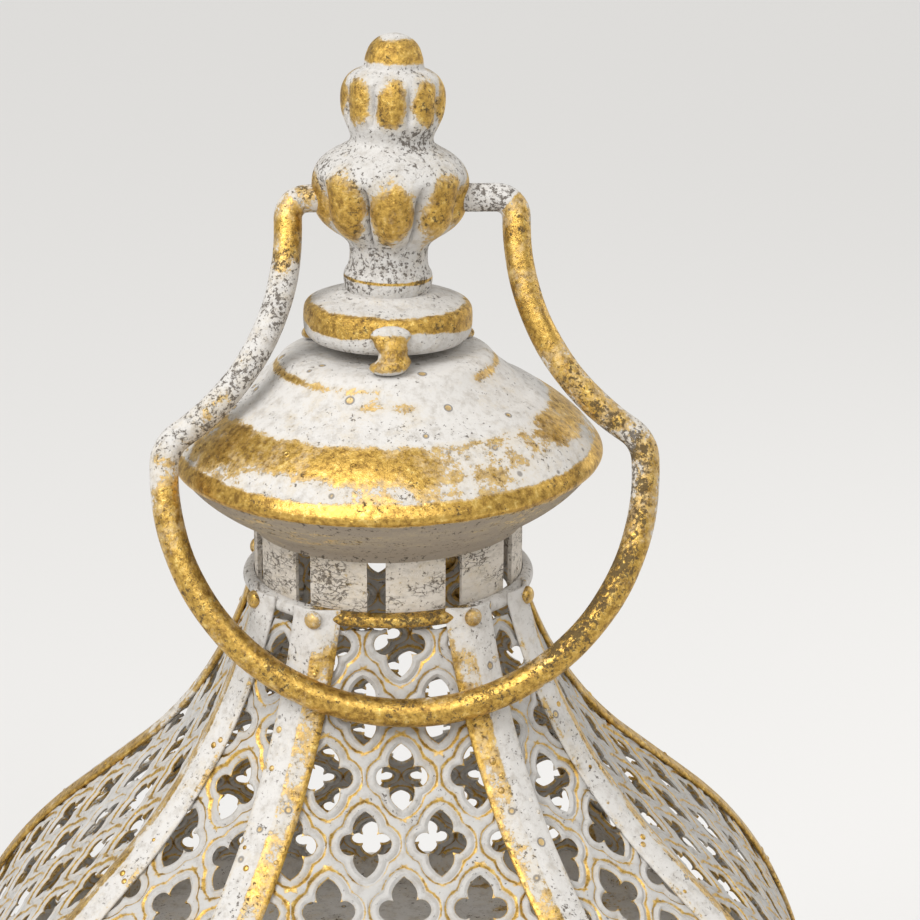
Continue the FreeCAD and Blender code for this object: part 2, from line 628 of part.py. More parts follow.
NECK_EDGE = "(%s + Dims.crown_neck)" % RING
under_edge = "Dims.neck_radius + 0.5 * Dims.fit_gap"
UNDER_RIM = "(%s - Dims.fit_gap)" % RIM
crown_under = turned("crown_under", [
    (under_edge, NECK_EDGE),
    (under_edge + " + 1.2", NECK_EDGE,
     ("0.5 * (Dims.neck_radius + Dims.crown_radius) + 1.6",
      "0.5 * (%s + %s) - 2.4" % (NECK_EDGE, UNDER_RIM))),
    ("Dims.crown_radius - 0.8", UNDER_RIM),
    ("Dims.crown_radius - 2.2", UNDER_RIM,
     ("0.5 * (Dims.neck_radius + Dims.crown_radius) + 0.7",
      "0.5 * (%s + %s) - 1.4" % (NECK_EDGE, UNDER_RIM))),
    (under_edge + " + 1.0", NECK_EDGE + " + " + WALL),
    (under_edge, NECK_EDGE + " + " + WALL)])
piece(crown_under, "crown_under")

# ---------------------------------------------------------------- finial group
DISC = "(%s + Dims.disc_gap)" % TOP
CAST = "(%s + Dims.disc_height)" % DISC
disc = turned("foot_disc", [
    ("Dims.stud_radius + 2 * Dims.pin_clearance", DISC),
    ("Dims.disc_radius - 1.5", DISC, ("Dims.disc_radius", "%s + 3.6" % DISC)),
    ("Dims.disc_radius - 0.7", "%s + 6.8" % DISC,
     ("Dims.disc_radius - 4.4", "%s + 8.7" % DISC)),
    ("Dims.neck_waist + 1.2", CAST),
    ("Dims.stud_radius + 2 * Dims.pin_clearance", CAST)])
piece(disc, "foot_disc")

BALL = "(%s + Dims.ball_height)" % RING
UPPER = "(%s + Dims.upper_ball_height)" % RING
TIP = "(%s + Dims.tip_height)" % RING
BORE = "Dims.stud_radius + Dims.pin_clearance"
waist = "Dims.neck_waist"
finial_solid = turned("finial_turned", [
    ("0", BALL + " - 8.5"), (BORE, BALL + " - 8.5"), (BORE, CAST),
    (waist + " + 1.2", CAST), (waist + " + 0.4", CAST + " + 2.0"),
    (waist + " + 0.6", CAST + " + 2.6", (waist + " + 1.9", CAST + " + 3.8")),
    (waist + " + 0.4", CAST + " + 5.0"), (waist, CAST + " + 6.6"),
    (waist + " + 0.1", CAST + " + 8.9", ("Dims.ball_radius", BALL + " + 0.6")),
    (waist + " - 0.1", UPPER + " - 8.4"), (waist + " - 0.2", UPPER + " - 6.6",
                                         ("Dims.upper_ball_radius", UPPER)),
    (waist + " - 0.6", UPPER + " + 4.1"), ("Dims.tip_radius - 0.6", UPPER + " + 4.9",
                                           ("Dims.tip_radius", UPPER + " + 7.6")),
    ("0.55 * Dims.tip_radius", TIP + " - 0.9"),
    ("0", TIP)])
cross = cylinder("pivot_bore", "Dims.rod_radius + Dims.pin_clearance",
                 "4 * Dims.ball_radius", BALL, "-2 * Dims.ball_radius")
lying(cross, V(1, 0, 0))
finial = cut("finial", finial_solid, cross)
piece(finial, "finial")

stud = cylinder("finial_stud", "Dims.stud_radius",
                "Dims.disc_gap + Dims.disc_height + Dims.nut_height + %s + 9" % WALL,
                "%s - %s - Dims.nut_height - 1.5" % (TOP, WALL))
piece(stud, "finial_stud")
nut_block = doc.addObject("Part::Prism", "nut_block")
nut_block.Polygon = 6
nut_block.setExpression("Circumradius", "Dims.nut_radius")
nut_block.setExpression("Height", "Dims.nut_height")
nut_block.setExpression("Placement.Base.z", "%s - %s - Dims.nut_height" % (TOP, WALL))
nut = cut("finial_nut", nut_block, cylinder("nut_bore", BORE, "3 * Dims.nut_height",
                                            TOP + " - 2 * Dims.nut_height"))
piece(nut, "finial_nut")

lug_lump = doc.addObject("Part::Ellipsoid", "lug_lump")
for prop, expr in (("Radius1", "0.5 * Dims.disc_height"), ("Radius2", "0.5 * Dims.lug_width"),
                   ("Radius3", "0.42 * Dims.lug_width"),
                   ("Placement.Base.y", "-Dims.disc_radius"),
                   ("Placement.Base.z", "%s + 0.5 * Dims.disc_height" % TOP)):
    lug_lump.setExpression(prop, expr)
lug_master = cut("lug_front", lug_lump, disc)
piece(lug_master, "lug_front")
turned_copy(lug_master, "lug_back_right", 120)
turned_copy(lug_master, "lug_back_left", 240)

# ---------------------------------------------------------------- bail
BEND = "Dims.elbow_bend"
DX, DY = "(Dims.leg_x - Dims.elbow_x)", "(Dims.leg_end - Dims.leg_drop)"
SPREAD = "(2 * atan(%s / %s))" % (DX, DY)             # how far the leg has turned outwards
LEG_R = "((%s ^ 2 + %s ^ 2) / (2 * %s))" % (DX, DY, DX)
KNEE_R = "((Dims.loop_radius - Dims.leg_x) / (1 - cos(%s)))" % SPREAD
HALF = "(0.5 * %s)" % SPREAD
half_path = [
    ("Dims.stub_reach", "0"),
    ("Dims.elbow_x - " + BEND, "0", ("Dims.elbow_x - %s * (1 - sin(45 deg))" % BEND,
                                     "%s * (1 - cos(45 deg))" % BEND)),
    ("Dims.elbow_x", BEND),
    ("Dims.elbow_x", "Dims.leg_drop", ("Dims.elbow_x + %s * (1 - cos(%s))" % (LEG_R, HALF),
                                       "Dims.leg_drop + %s * sin(%s)" % (LEG_R, HALF))),
    ("Dims.leg_x", "Dims.leg_end",
     ("Dims.loop_radius - %s * (1 - cos(%s))" % (KNEE_R, HALF),
      "Dims.leg_end + %s * (sin(%s) - sin(%s))" % (KNEE_R, SPREAD, HALF))),
    ("Dims.loop_radius", "Dims.leg_end + %s * sin(%s)" % (KNEE_R, SPREAD)),
    ("Dims.loop_radius", "Dims.loop_centre", ("0", "Dims.loop_centre + Dims.loop_radius"))]


# The hanging bail leans on the ribs: its lowest point stands off by rod, sheet and a gap.
REST_LEAN = ("asin((%s + Dims.rod_radius + Dims.sheet + Dims.rest_gap)"
             " / (Dims.loop_centre + Dims.loop_radius))" % ROOF_TOP)


def below(expression):
    return "-(%s)" % expression


path_points = [(p[0], below(p[1])) + (((p[2][0], below(p[2][1])),) if len(p) > 2 else ())
               for p in half_path]
ends_only = [(p[0], p[1]) for p in half_path]
for i in range(len(half_path) - 1, 0, -1):
    this, before = half_path[i], half_path[i - 1]
    point = (below(this[0]), below(this[1]))
    if len(before) > 2:
        point += ((below(before[2][0]), below(before[2][1])),)
    path_points.append(point)
path_points.append((below(half_path[0][0]), "0"))
bail_path = doc.addObject("Sketcher::SketchObject", "bail_path")
outline(bail_path, path_points, closed=False)
bail_path.Placement = FreeCAD.Placement(V(0, 0, val(BALL)),
                                        FreeCAD.Rotation(V(1, 0, 0), 90 - val(REST_LEAN)))
bail_path.setExpression("Placement.Base.x", "Dims.bail_shift")
bail_path.setExpression("Placement.Base.z", BALL)
rod_section = doc.addObject("Sketcher::SketchObject", "rod_section")
rod_section.addGeometry(Part.Circle(V(0, 0, 0), Z_AXIS, val("Dims.rod_radius")), False)
rod_section.addConstraint(Sketcher.Constraint("Coincident", 0, 3, -1, 1))
i = rod_section.addConstraint(Sketcher.Constraint("Radius", 0, val("Dims.rod_radius")))
rod_section.setExpression("Constraints[%d]" % i, "Dims.rod_radius")
rod_section.Placement = FreeCAD.Placement(V(0, 0, 0), FreeCAD.Rotation(V(0, 1, 0), 90))
rod_section.setExpression("Placement.Base.x", "Dims.stub_reach + Dims.bail_shift")
rod_section.setExpression("Placement.Base.z", BALL)
doc.recompute()
bail = doc.addObject("Part::Sweep", "bail_handle")
bail.Sections = [rod_section]
bail.Spine = (bail_path, ["Edge%d" % (n + 1) for n in range(len(path_points) - 1)])
bail.Solid = True
bail.Frenet = False
bail.Transition = "Right corner"
piece(bail, "bail_handle")

# ---------------------------------------------------------------- door and its hinges
FACE = "(Dims.body_radius * %s)" % K_WIDE
FRONT = "(%s + Dims.fit_gap + Dims.sheet)" % FACE      # the posts' outer face
OPENING = "(%s - Dims.wing_width)" % HALF_WIDE
LEAF = "(%s - Dims.door_gap)" % OPENING
FLOOR, HEAD = DERIVED["floor_top"], DERIVED["body_top"]
leaf_height = "(Dims.body_height - 2 * Dims.door_gap)"
frame_plate = box("door_plate", "2 * " + LEAF, "Dims.door_frame_depth", leaf_height,
                  "-" + LEAF, "-" + FRONT, FLOOR + " + Dims.door_gap")
window = box("door_window", "2 * (%s - Dims.door_rail)" % LEAF, "5 * Dims.door_frame_depth",
             leaf_height + " - 2 * Dims.door_rail", "-(%s - Dims.door_rail)" % LEAF,
             "-%s - 2 * Dims.door_frame_depth" % FRONT,
             FLOOR + " + Dims.door_gap + Dims.door_rail")
piece(cut("door_frame", frame_plate, window), "door_frame")
panel_half = "(%s - 3)" % LEAF
door_back = "(%s - Dims.door_frame_depth)" % FRONT
door_blank = box("door_panel_blank", "2 * " + panel_half, "Dims.sheet",
                 leaf_height + " - 6", "-" + panel_half, "-" + door_back,
                 FLOOR + " + Dims.door_gap + 3")
doc.recompute()
upright = FreeCAD.Rotation(V(1, 0, 0), 90)
reach = val(LEAF) - val("Dims.door_rail") + val("Dims.foil_margin") - 1.0
door_foils = foil_grid(lambda s: reach, val(FLOOR) + 12, val(HEAD) - 12,
                       lambda u, s: FreeCAD.Placement(V(u, -val(door_back), s), upright))
piece(pierced("door_panel", door_blank, door_foils), "door_panel")

PIN_X = "-(%s - 0.5 * Dims.door_gap)" % OPENING
PIN_Y = "-(%s + 0.2 + Dims.barrel_radius)" % FRONT
PLATE = "Dims.sheet"
for label, centre in (("lower", FLOOR + " + Dims.hinge_inset"),
                      ("upper", HEAD + " - Dims.hinge_inset")):
    for side, base, bore in (
            ("body", "%s - Dims.barrel_height - 0.15" % centre, "0.02"),
            ("door", "%s + 0.15" % centre, "Dims.pin_clearance")):
        name = "%s_knuckle_%s" % (side, label)
        barrel = cylinder(name + "_barrel", "Dims.barrel_radius", "Dims.barrel_height", base,
                          PIN_X, PIN_Y)
        length = "(Dims.wing_width - 1.2)" if side == "body" else "16"
        start = "%s - %s" % (PIN_X, length) if side == "body" else PIN_X
        leaf = box(name + "_leaf", length, PLATE, "Dims.barrel_height", start,
                   "-%s - %s" % (FRONT, PLATE), base)
        bored = cylinder(name + "_bore", "Dims.hinge_pin_radius + " + bore,
                         "3 * Dims.barrel_height", base + " - Dims.barrel_height", PIN_X, PIN_Y)
        piece(cut(name, fuse(name + "_solid", [barrel, leaf]), bored), name)
    shank = cylinder("hinge_pin_%s_shank" % label, "Dims.hinge_pin_radius",
                     "2 * Dims.barrel_height + 2.2", "%s - Dims.barrel_height - 1.4" % centre,
                     PIN_X, PIN_Y)
    pin_head = cylinder("hinge_pin_%s_head" % label, "Dims.barrel_radius - 0.4", "1.6",
                        "%s + Dims.barrel_height + 0.5" % centre, PIN_X, PIN_Y)
    piece(fuse("hinge_pin_" + label, [shank, pin_head]), "hinge_pin_" + label)

knob = turned("door_knob", [
    ("0", "0"), ("0.62 * Dims.knob_radius", "0"), ("0.62 * Dims.knob_radius", "1.2"),
    ("0.4 * Dims.knob_radius", "2.0"),
    ("0.45 * Dims.knob_radius", "0.35 * Dims.knob_reach",
     ("Dims.knob_radius", "0.66 * Dims.knob_reach")),
    ("0.25 * Dims.knob_radius", "0.97 * Dims.knob_reach"), ("0", "Dims.knob_reach")])
knob.Placement.Rotation = FreeCAD.Rotation(V(1, 0, 0), 90)
for prop, expr in (("x", "%s - 0.5 * Dims.door_rail" % LEAF), ("y", "-" + FRONT),
                   ("z", FLOOR + " + 0.5 * Dims.body_height")):
    knob.setExpression("Placement.Base." + prop, expr)
piece(knob, "door_knob")

# ---------------------------------------------------------------- check and export
doc.recompute()
for obj in doc.Objects:
    if "Invalid" in obj.State or "Error" in obj.State:
        raise RuntimeError("%s did not build: %s" % (obj.Label, obj.State))
print("%d pieces" % len(PIECES))
for obj in PIECES:
    shape = obj.Shape
    if shape.isNull() or not shape.isValid() or not shape.Solids:
        raise RuntimeError("%s has no valid solid" % obj.Label)
    if len(shape.Solids) > 1:
        raise RuntimeError("%s came apart into %d solids" % (obj.Label, len(shape.Solids)))
    shape.exportStep(os.path.join("parts", obj.Label + ".step"))
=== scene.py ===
# %% [markdown]
# # A candle lantern in gilded and chalk-washed sheet metal
# The lantern is an eight-sided onion roof of pierced, embossed sheet on a pierced body.
# Above the roof come a slotted neck, a spun crown, a cast finial and a bent-rod bail.
# The solid model already fixes every size, so each cell below makes one real piece
# finer and gives it its finish. Lengths are metres, written as millimetres times MM.

# %% load the frame
import math
import bmesh
import bpy
import numpy as np
from mathutils import Matrix, Vector
from mathutils.geometry import delaunay_2d_cdt


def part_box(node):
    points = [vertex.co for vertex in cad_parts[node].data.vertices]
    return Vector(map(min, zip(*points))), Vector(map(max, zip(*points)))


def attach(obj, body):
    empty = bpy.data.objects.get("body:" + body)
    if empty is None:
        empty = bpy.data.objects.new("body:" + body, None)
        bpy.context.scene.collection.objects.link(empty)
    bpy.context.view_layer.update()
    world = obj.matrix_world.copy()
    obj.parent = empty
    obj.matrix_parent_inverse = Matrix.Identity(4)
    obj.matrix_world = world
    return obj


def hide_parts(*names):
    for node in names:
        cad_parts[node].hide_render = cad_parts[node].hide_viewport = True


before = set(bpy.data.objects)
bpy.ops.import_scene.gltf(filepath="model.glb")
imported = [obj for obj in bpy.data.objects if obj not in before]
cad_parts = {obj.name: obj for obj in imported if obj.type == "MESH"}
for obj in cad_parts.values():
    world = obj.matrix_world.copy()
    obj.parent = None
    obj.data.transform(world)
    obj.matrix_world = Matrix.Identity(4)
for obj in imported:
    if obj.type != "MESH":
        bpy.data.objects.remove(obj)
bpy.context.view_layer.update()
MM = 0.001


def span(node, axis):
    """Lowest and highest coordinate of a solid along one axis."""
    low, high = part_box(node)
    return low[axis], high[axis]


ring_z = sum(span("collar_ring", 2)) / 2
roof_base_z = span("roof_panel_front", 2)[0]
print("collar ring at %.1f mm, eave at %.1f mm" % (ring_z / MM, roof_base_z / MM))

# %% [markdown]
# ## Small helpers
# A mesh is built from plain lists of corners and faces. Numbers that a finish needs at
# each corner, such as how far it is from a pierced edge, travel with it as attributes.

# %% mesh helpers


def new_mesh(name, corners, faces, **values):
    """A mesh from lists; each named value becomes an attribute of its corners."""
    mesh = bpy.data.meshes.new(name)
    mesh.from_pydata([tuple(c) for c in corners], [], [tuple(f) for f in faces])
    for key, numbers in values.items():
        layer = mesh.attributes.new(key, "FLOAT", "POINT")
        layer.data.foreach_set("value", np.asarray(numbers, dtype=np.float32))
    mesh.update()
    return mesh


def new_object(name, mesh):
    thing = bpy.data.objects.new(name, mesh)
    bpy.context.scene.collection.objects.link(thing)
    return thing


def baked(thing, name=None):
    """The object's mesh after its modifiers; the object itself is then dropped."""
    bpy.context.view_layer.update()
    graph = bpy.context.evaluated_depsgraph_get()
    mesh = bpy.data.meshes.new_from_object(thing.evaluated_get(graph))
    mesh.name = name or thing.name
    bpy.data.objects.remove(thing)
    return mesh


print("mesh helpers ready, lengths in steps of %.3f m" % MM)

# %% finishing helpers


def finish_piece(name, mesh, materials, nodes, body="lantern", sharp=35):
    """Hang one finished mesh on its body, in place of the solids it stands for."""
    thing = new_object(name, mesh)
    mesh.materials.clear()
    for material in materials if isinstance(materials, list) else [materials]:
        mesh.materials.append(material)
    mesh.shade_smooth()
    mesh.set_sharp_from_angle(angle=math.radians(sharp))
    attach(thing, body)
    if nodes:
        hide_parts(*nodes)
    return thing


def turned_about_z(mesh, degrees):
    copy = mesh.copy()
    copy.transform(Matrix.Rotation(math.radians(degrees), 4, "Z"))
    return copy


def outward(mesh):
    """Merge doubles and turn every face outwards on a closed shape."""
    work = bmesh.new()
    work.from_mesh(mesh)
    bmesh.ops.remove_doubles(work, verts=work.verts, dist=0.002 * MM)
    bmesh.ops.recalc_face_normals(work, faces=work.faces)
    work.to_mesh(mesh)
    work.free()
    return mesh


def smooth_step(low, high, x):
    """0 below low, 1 above high, and an eased rise between them."""
    t = np.clip((np.asarray(x, dtype=float) - low) / (high - low), 0, 1)
    return t * t * (3 - 2 * t)


print("a smooth step is %.2f a quarter of the way" % smooth_step(0, 1, 0.25))

# %% [markdown]
# ## The camera
# A long lens, a little above the crown, turned a few degrees off the door's axis.
# The view is fixed first, because everything else is judged through it.

# %% camera
EYE_AZIMUTH, EYE_ELEVATION, EYE_ROLL = math.radians(-3.73), math.radians(18.1), math.radians(-0.4)
EYE_DISTANCE = 504 * MM
aim_right, aim_up = 15.1 * MM, 24.7 * MM
back = Vector((math.sin(EYE_AZIMUTH) * math.cos(EYE_ELEVATION),
               -math.cos(EYE_AZIMUTH) * math.cos(EYE_ELEVATION), math.sin(EYE_ELEVATION)))
across = Vector((math.cos(EYE_AZIMUTH), math.sin(EYE_AZIMUTH), 0))
aim = across * aim_right + Vector((0, 0, ring_z + aim_up))
camera = bpy.data.objects.new("camera", bpy.data.cameras.new("camera"))
bpy.context.scene.collection.objects.link(camera)
camera.data.sensor_width = 36.0
camera.data.lens = 93.9
camera.data.clip_end = 50.0
rise = across.cross(-back)
turn = Matrix((across, rise, back)).transposed().to_4x4()
camera.matrix_world = (Matrix.Translation(aim + back * EYE_DISTANCE) @ turn
                       @ Matrix.Rotation(-EYE_ROLL, 4, "Z"))
bpy.context.scene.camera = camera
print("camera looks down %.1f degrees" % math.degrees(EYE_ELEVATION))

# %% [markdown]
# ## The finishes
# A finish is a tree of nodes. One helper adds a node with its settings and its links, so
# each line below reads as one step of the recipe. Colours are given as a painter's hex
# code and turned into linear light.

# %% node and colour helpers


def srgb(code):
    """A hex colour as linear light, with alpha."""
    parts = [int(code[i:i + 2], 16) / 255 for i in (1, 3, 5)]
    return [c / 12.92 if c <= 0.04045 else ((c + 0.055) / 1.055) ** 2.4 for c in parts] + [1.0]


def add_node(tree, kind, settings=None, **links):
    """One node. Settings are its properties; links feed sockets, by name or by number.

    A node given as a value stands for its first live output.
    """
    node = tree.nodes.new(kind)
    for key, value in (settings or {}).items():
        setattr(node, key, value)
    for key, value in links.items():
        key = int(key[1:]) if key[0] == "i" and key[1:].isdigit() else key.replace("_", " ")
        if isinstance(value, bpy.types.Node):
            value = next(o for o in value.outputs if o.enabled)
        if isinstance(value, bpy.types.NodeSocket):
            tree.links.new(value, node.inputs[key])
        else:
            node.inputs[key].default_value = value
    return node


MATH, NOISE, RANGE, MIX = ("ShaderNodeMath", "ShaderNodeTexNoise", "ShaderNodeMapRange",
                           "ShaderNodeMix")
TIMES, TIMES_PLUS = {"operation": "MULTIPLY"}, {"operation": "MULTIPLY_ADD"}
MINUS, EASED, COLOUR = ({"operation": "SUBTRACT"}, {"interpolation_type": "SMOOTHSTEP"},
                        {"data_type": "RGBA"})
print("mid grey #808080 is %.3f in linear light" % srgb("#808080")[0])

# %% [markdown]
# ### Gold leaf under chalk
# Every painted piece has the same three coats. Umber primer went on first, then bronze
# leaf, then a chalk wash that was rubbed back with a cloth before it dried. So gold is
# left on high places and edges, umber in pores and along the torn edge of the wash, and
# a thin film of chalk keeps much of the gold pale. One material builds that order. It
# reads two values that each mesh carries: "gild", where the cloth rubbed, and "soil",
# where dirt gathered.

# %% faults in the coats


def drying_cracks(tree, place, torn, area, amount):
    """Chalk that dried too fast: cracks about 2 mm apart, longer across than up."""
    shift = add_node(tree, "ShaderNodeVectorMath", TIMES_PLUS, i0=torn.outputs["Color"],
                     i1=(2.2 * MM, 2.2 * MM, 2.2 * MM), i2=place)
    wide = add_node(tree, "ShaderNodeMapping", None, Vector=shift, Scale=(0.6, 0.6, 1.7))
    cells = add_node(tree, "ShaderNodeTexVoronoi", {"feature": "DISTANCE_TO_EDGE"},
                     Vector=wide, Scale=1 / (1.7 * MM))
    crack = add_node(tree, RANGE, EASED, Value=cells, From_Min=0.075, From_Max=0.01)
    dry = add_node(tree, RANGE, EASED, Value=area, From_Min=0.44, From_Max=0.60, To_Max=amount)
    return add_node(tree, MATH, TIMES, i0=crack, i1=dry)


def burst_blisters(tree, place, share):
    """A dark ring about 1 mm across, and its middle, where leaf shows, in some cells."""
    spots = add_node(tree, "ShaderNodeTexVoronoi", None, Vector=place, Scale=1 / (4.6 * MM))
    apart = add_node(tree, "ShaderNodeSeparateColor", None, Color=spots.outputs["Color"])
    chosen = add_node(tree, MATH, {"operation": "LESS_THAN"}, i0=apart.outputs[0], i1=share)
    size = add_node(tree, MATH, TIMES_PLUS, i0=apart.outputs[1], i1=-0.10, i2=spots)
    inner = add_node(tree, RANGE, EASED, Value=size, From_Min=0.085, From_Max=0.045)
    outer = add_node(tree, RANGE, EASED, Value=size, From_Min=0.155, From_Max=0.10)
    inner = add_node(tree, MATH, TIMES, i0=inner, i1=chosen)
    outer = add_node(tree, MATH, TIMES, i0=outer, i1=chosen)
    return add_node(tree, MATH, MINUS, i0=outer, i1=inner), inner


def flaked_gold(tree, place, torn, pore, hazy, umber):
    """Leaf from ochre to bright, hazed by the film; also its flakes and its bare umber."""
    flake = add_node(tree, NOISE, None, Vector=place, Scale=1 / (1.5 * MM), Detail=4.0,
                     Roughness=0.72)
    low = add_node(tree, RANGE, EASED, Value=flake, From_Min=0.34, From_Max=0.56)
    high = add_node(tree, RANGE, EASED, Value=flake, From_Min=0.54, From_Max=0.72)
    gold = add_node(tree, MIX, COLOUR, i0=low, i6=srgb("#93723A"), i7=srgb("#CDA654"))
    gold = add_node(tree, MIX, COLOUR, i0=high, i6=gold, i7=srgb("#EFD283"))
    gold = add_node(tree, MIX, COLOUR, i0=hazy, i6=gold, i7=srgb("#D5C7AA"))
    patch = add_node(tree, MATH, TIMES_PLUS, i0=torn, i1=0.6, i2=pore)
    worn = add_node(tree, RANGE, EASED, Value=patch, From_Min=1.16 - 0.22 * umber,
                    From_Max=1.30 - 0.22 * umber, To_Max=0.85)
    return add_node(tree, MIX, COLOUR, i0=worn, i6=gold, i7=srgb("#40331F")), flake, worn


# %% [markdown]
# The coats themselves go into one tree, in the order in which they were laid. Every
# pattern's scale is one over a real size in millimetres, so it stays true on each piece.

# %% the finish


def chalk_over_leaf(name, leaf=0.1, rub=1.0, umber=0.3, sand=0.35, crackle=0.0, pits=0.0,
                    grain=(1, 1, 1), chalk="#CECBC7", film=0.4):
    """leaf: gold on open surfaces; rub: strength of "gild"; umber: dirt; sand: relief of
    the grains; crackle and pits: how much of each; grain: stretch of the brush marks."""
    material = bpy.data.materials.new(name)
    material.use_nodes = True
    tree = material.node_tree
    shader = tree.nodes["Principled BSDF"]
    place = add_node(tree, "ShaderNodeTexCoord").outputs["Object"]
    drawn = add_node(tree, "ShaderNodeMapping", None, Vector=place, Scale=grain)
    gild = add_node(tree, "ShaderNodeAttribute", {"attribute_name": "gild"}).outputs["Fac"]
    soil = add_node(tree, "ShaderNodeAttribute", {"attribute_name": "soil"}).outputs["Fac"]

    # Where the wash is rubbed through: above zero is leaf, below zero is chalk.
    hand = add_node(tree, NOISE, None, Vector=drawn, Scale=1 / (20 * MM), Detail=2.0)
    torn = add_node(tree, NOISE, None, Vector=drawn, Scale=1 / (4.2 * MM), Detail=6.0,
                    Roughness=0.66, Distortion=0.3)
    grit = add_node(tree, NOISE, None, Vector=place, Scale=1 / (0.7 * MM), Detail=4.0,
                    Roughness=0.72)
    rubbed = add_node(tree, MATH, TIMES_PLUS, i0=hand, i1=1.3, i2=leaf - 2.3)
    rubbed = add_node(tree, MATH, TIMES_PLUS, i0=torn, i1=1.7, i2=rubbed)
    rubbed = add_node(tree, MATH, TIMES_PLUS, i0=grit, i1=0.8, i2=rubbed)
    rubbed = add_node(tree, MATH, TIMES_PLUS, i0=gild, i1=rub, i2=rubbed)
    bare = add_node(tree, RANGE, EASED, Value=rubbed, From_Min=-0.03, From_Max=0.05)
    hazy = add_node(tree, RANGE, EASED, Value=rubbed, From_Min=0.42, From_Max=0.0, To_Max=film)

    # Chalk is warm white, and grey-beige where the cloth left it thin.
    thin = add_node(tree, NOISE, None, Vector=drawn, Scale=1 / (2.4 * MM), Detail=5.0,
                    Roughness=0.7)
    thin = add_node(tree, RANGE, EASED, Value=thin, From_Min=0.44, From_Max=0.74, To_Max=0.55)
    dusty = add_node(tree, MIX, COLOUR, i0=thin, i6=srgb(chalk), i7=srgb("#978E82"))
    warm = add_node(tree, RANGE, EASED, Value=rubbed, From_Min=-0.45, From_Max=0.0, To_Max=0.30)
    dusty = add_node(tree, MIX, COLOUR, i0=warm, i6=dusty, i7=srgb("#C6B491"))

    # Umber in the pores, thicker where "soil" is high and along the torn edge.
    pore = add_node(tree, NOISE, None, Vector=place, Scale=1 / (0.95 * MM), Detail=3.0,
                    Roughness=0.75)
    area = add_node(tree, NOISE, None, Vector=drawn, Scale=1 / (9 * MM), Detail=3.0)
    pore = add_node(tree, MATH, TIMES_PLUS, i0=area, i1=0.34, i2=pore)
    pore = add_node(tree, MATH, TIMES_PLUS, i0=soil, i1=0.10, i2=pore)
    dirt = add_node(tree, RANGE, EASED, Value=pore, From_Min=0.84 - 0.14 * umber,
                    From_Max=0.93 - 0.14 * umber, To_Max=0.85)
    rim = add_node(tree, RANGE, EASED, Value=rubbed, From_Min=-0.12, From_Max=-0.02)
    rim = add_node(tree, MATH, MINUS, i0=rim, i1=bare)
    broken = add_node(tree, RANGE, EASED, Value=thin, From_Min=0.1, From_Max=0.35, To_Max=0.6)
    rim = add_node(tree, MATH, TIMES, i0=rim, i1=broken)
    dirt = add_node(tree, MATH, {"operation": "MAXIMUM"}, i0=dirt, i1=rim)
    if crackle:
        crack = drying_cracks(tree, place, torn, area, crackle)
        dirt = add_node(tree, MATH, {"operation": "MAXIMUM"}, i0=dirt, i1=crack)
    pit_ring = 0.0
    if pits:
        pit_ring, inner = burst_blisters(tree, place, pits)
        bare = add_node(tree, MATH, {"operation": "MAXIMUM"}, i0=bare, i1=inner)
        faint = add_node(tree, MATH, TIMES, i0=pit_ring, i1=0.62)
        dirt = add_node(tree, MATH, {"operation": "MAXIMUM"}, i0=dirt, i1=faint)
    dusty = add_node(tree, MIX, COLOUR, i0=dirt, i6=dusty, i7=srgb("#4A4035"))

    gold, flake, worn = flaked_gold(tree, place, torn, pore, hazy, umber)
    tone = add_node(tree, MIX, COLOUR, i0=bare, i6=dusty, i7=gold)
    tree.links.new(tone.outputs[2], shader.inputs["Base Color"])

    # Leaf is metal with a soft shine; chalk and umber are matt.
    metal = add_node(tree, MATH, MINUS, i0=0.95, i1=worn)
    metal = add_node(tree, MATH, TIMES, i0=metal, i1=bare)
    haze = add_node(tree, MATH, TIMES_PLUS, i0=hazy, i1=-0.9, i2=1.0)
    metal = add_node(tree, MATH, TIMES, i0=metal, i1=haze)
    tree.links.new(metal.outputs[0], shader.inputs["Metallic"])
    rough = add_node(tree, MATH, TIMES_PLUS, i0=metal, i1=-0.52, i2=0.84)
    rough = add_node(tree, MATH, TIMES_PLUS, i0=flake, i1=0.10, i2=rough)
    tree.links.new(rough.outputs[0], shader.inputs["Roughness"])

    # Relief: grains, the chalk's thickness, pores and pits.
    rise = add_node(tree, MATH, TIMES, i0=grit, i1=sand)
    rise = add_node(tree, MATH, TIMES_PLUS, i0=torn, i1=0.5 * sand + 0.15, i2=rise)
    rise = add_node(tree, MATH, TIMES_PLUS, i0=bare, i1=-0.12, i2=rise)
    rise = add_node(tree, MATH, TIMES_PLUS, i0=dirt, i1=-0.22, i2=rise)
    rise = add_node(tree, MATH, TIMES_PLUS, i0=pit_ring, i1=0.45, i2=rise)
    bump = add_node(tree, "ShaderNodeBump", None, Height=rise, Strength=0.8,
                    Distance=0.5 * MM)
    tree.links.new(bump.outputs[0], shader.inputs["Normal"])
    return material


# %% [markdown]
# ### The finishes used
# The same three coats wore in different ways, so each kind of piece has its own recipe.
# What differs is how much leaf shows, how dirty it is, how rough the metal below was, and
# whether the chalk cracked or blistered.

# %% the finishes used
# Tinplate sheet, pressed: smooth, pale, with gold only where its mesh says.
pierced_finish = chalk_over_leaf("chalk_washed_gilt_tinplate", leaf=-0.12, umber=0.16,
                                 sand=0.25, chalk="#BAB8B5")
# Folded steel strip and angle: handled edges, with a few burst blisters.
rib_finish = chalk_over_leaf("rubbed_gilt_folded_strip", leaf=0.22, umber=0.45, pits=0.4,
                             sand=0.25)
post_finish = chalk_over_leaf("rubbed_gilt_corner_angle", leaf=0.2, umber=0.4, pits=0.25,
                              sand=0.25)
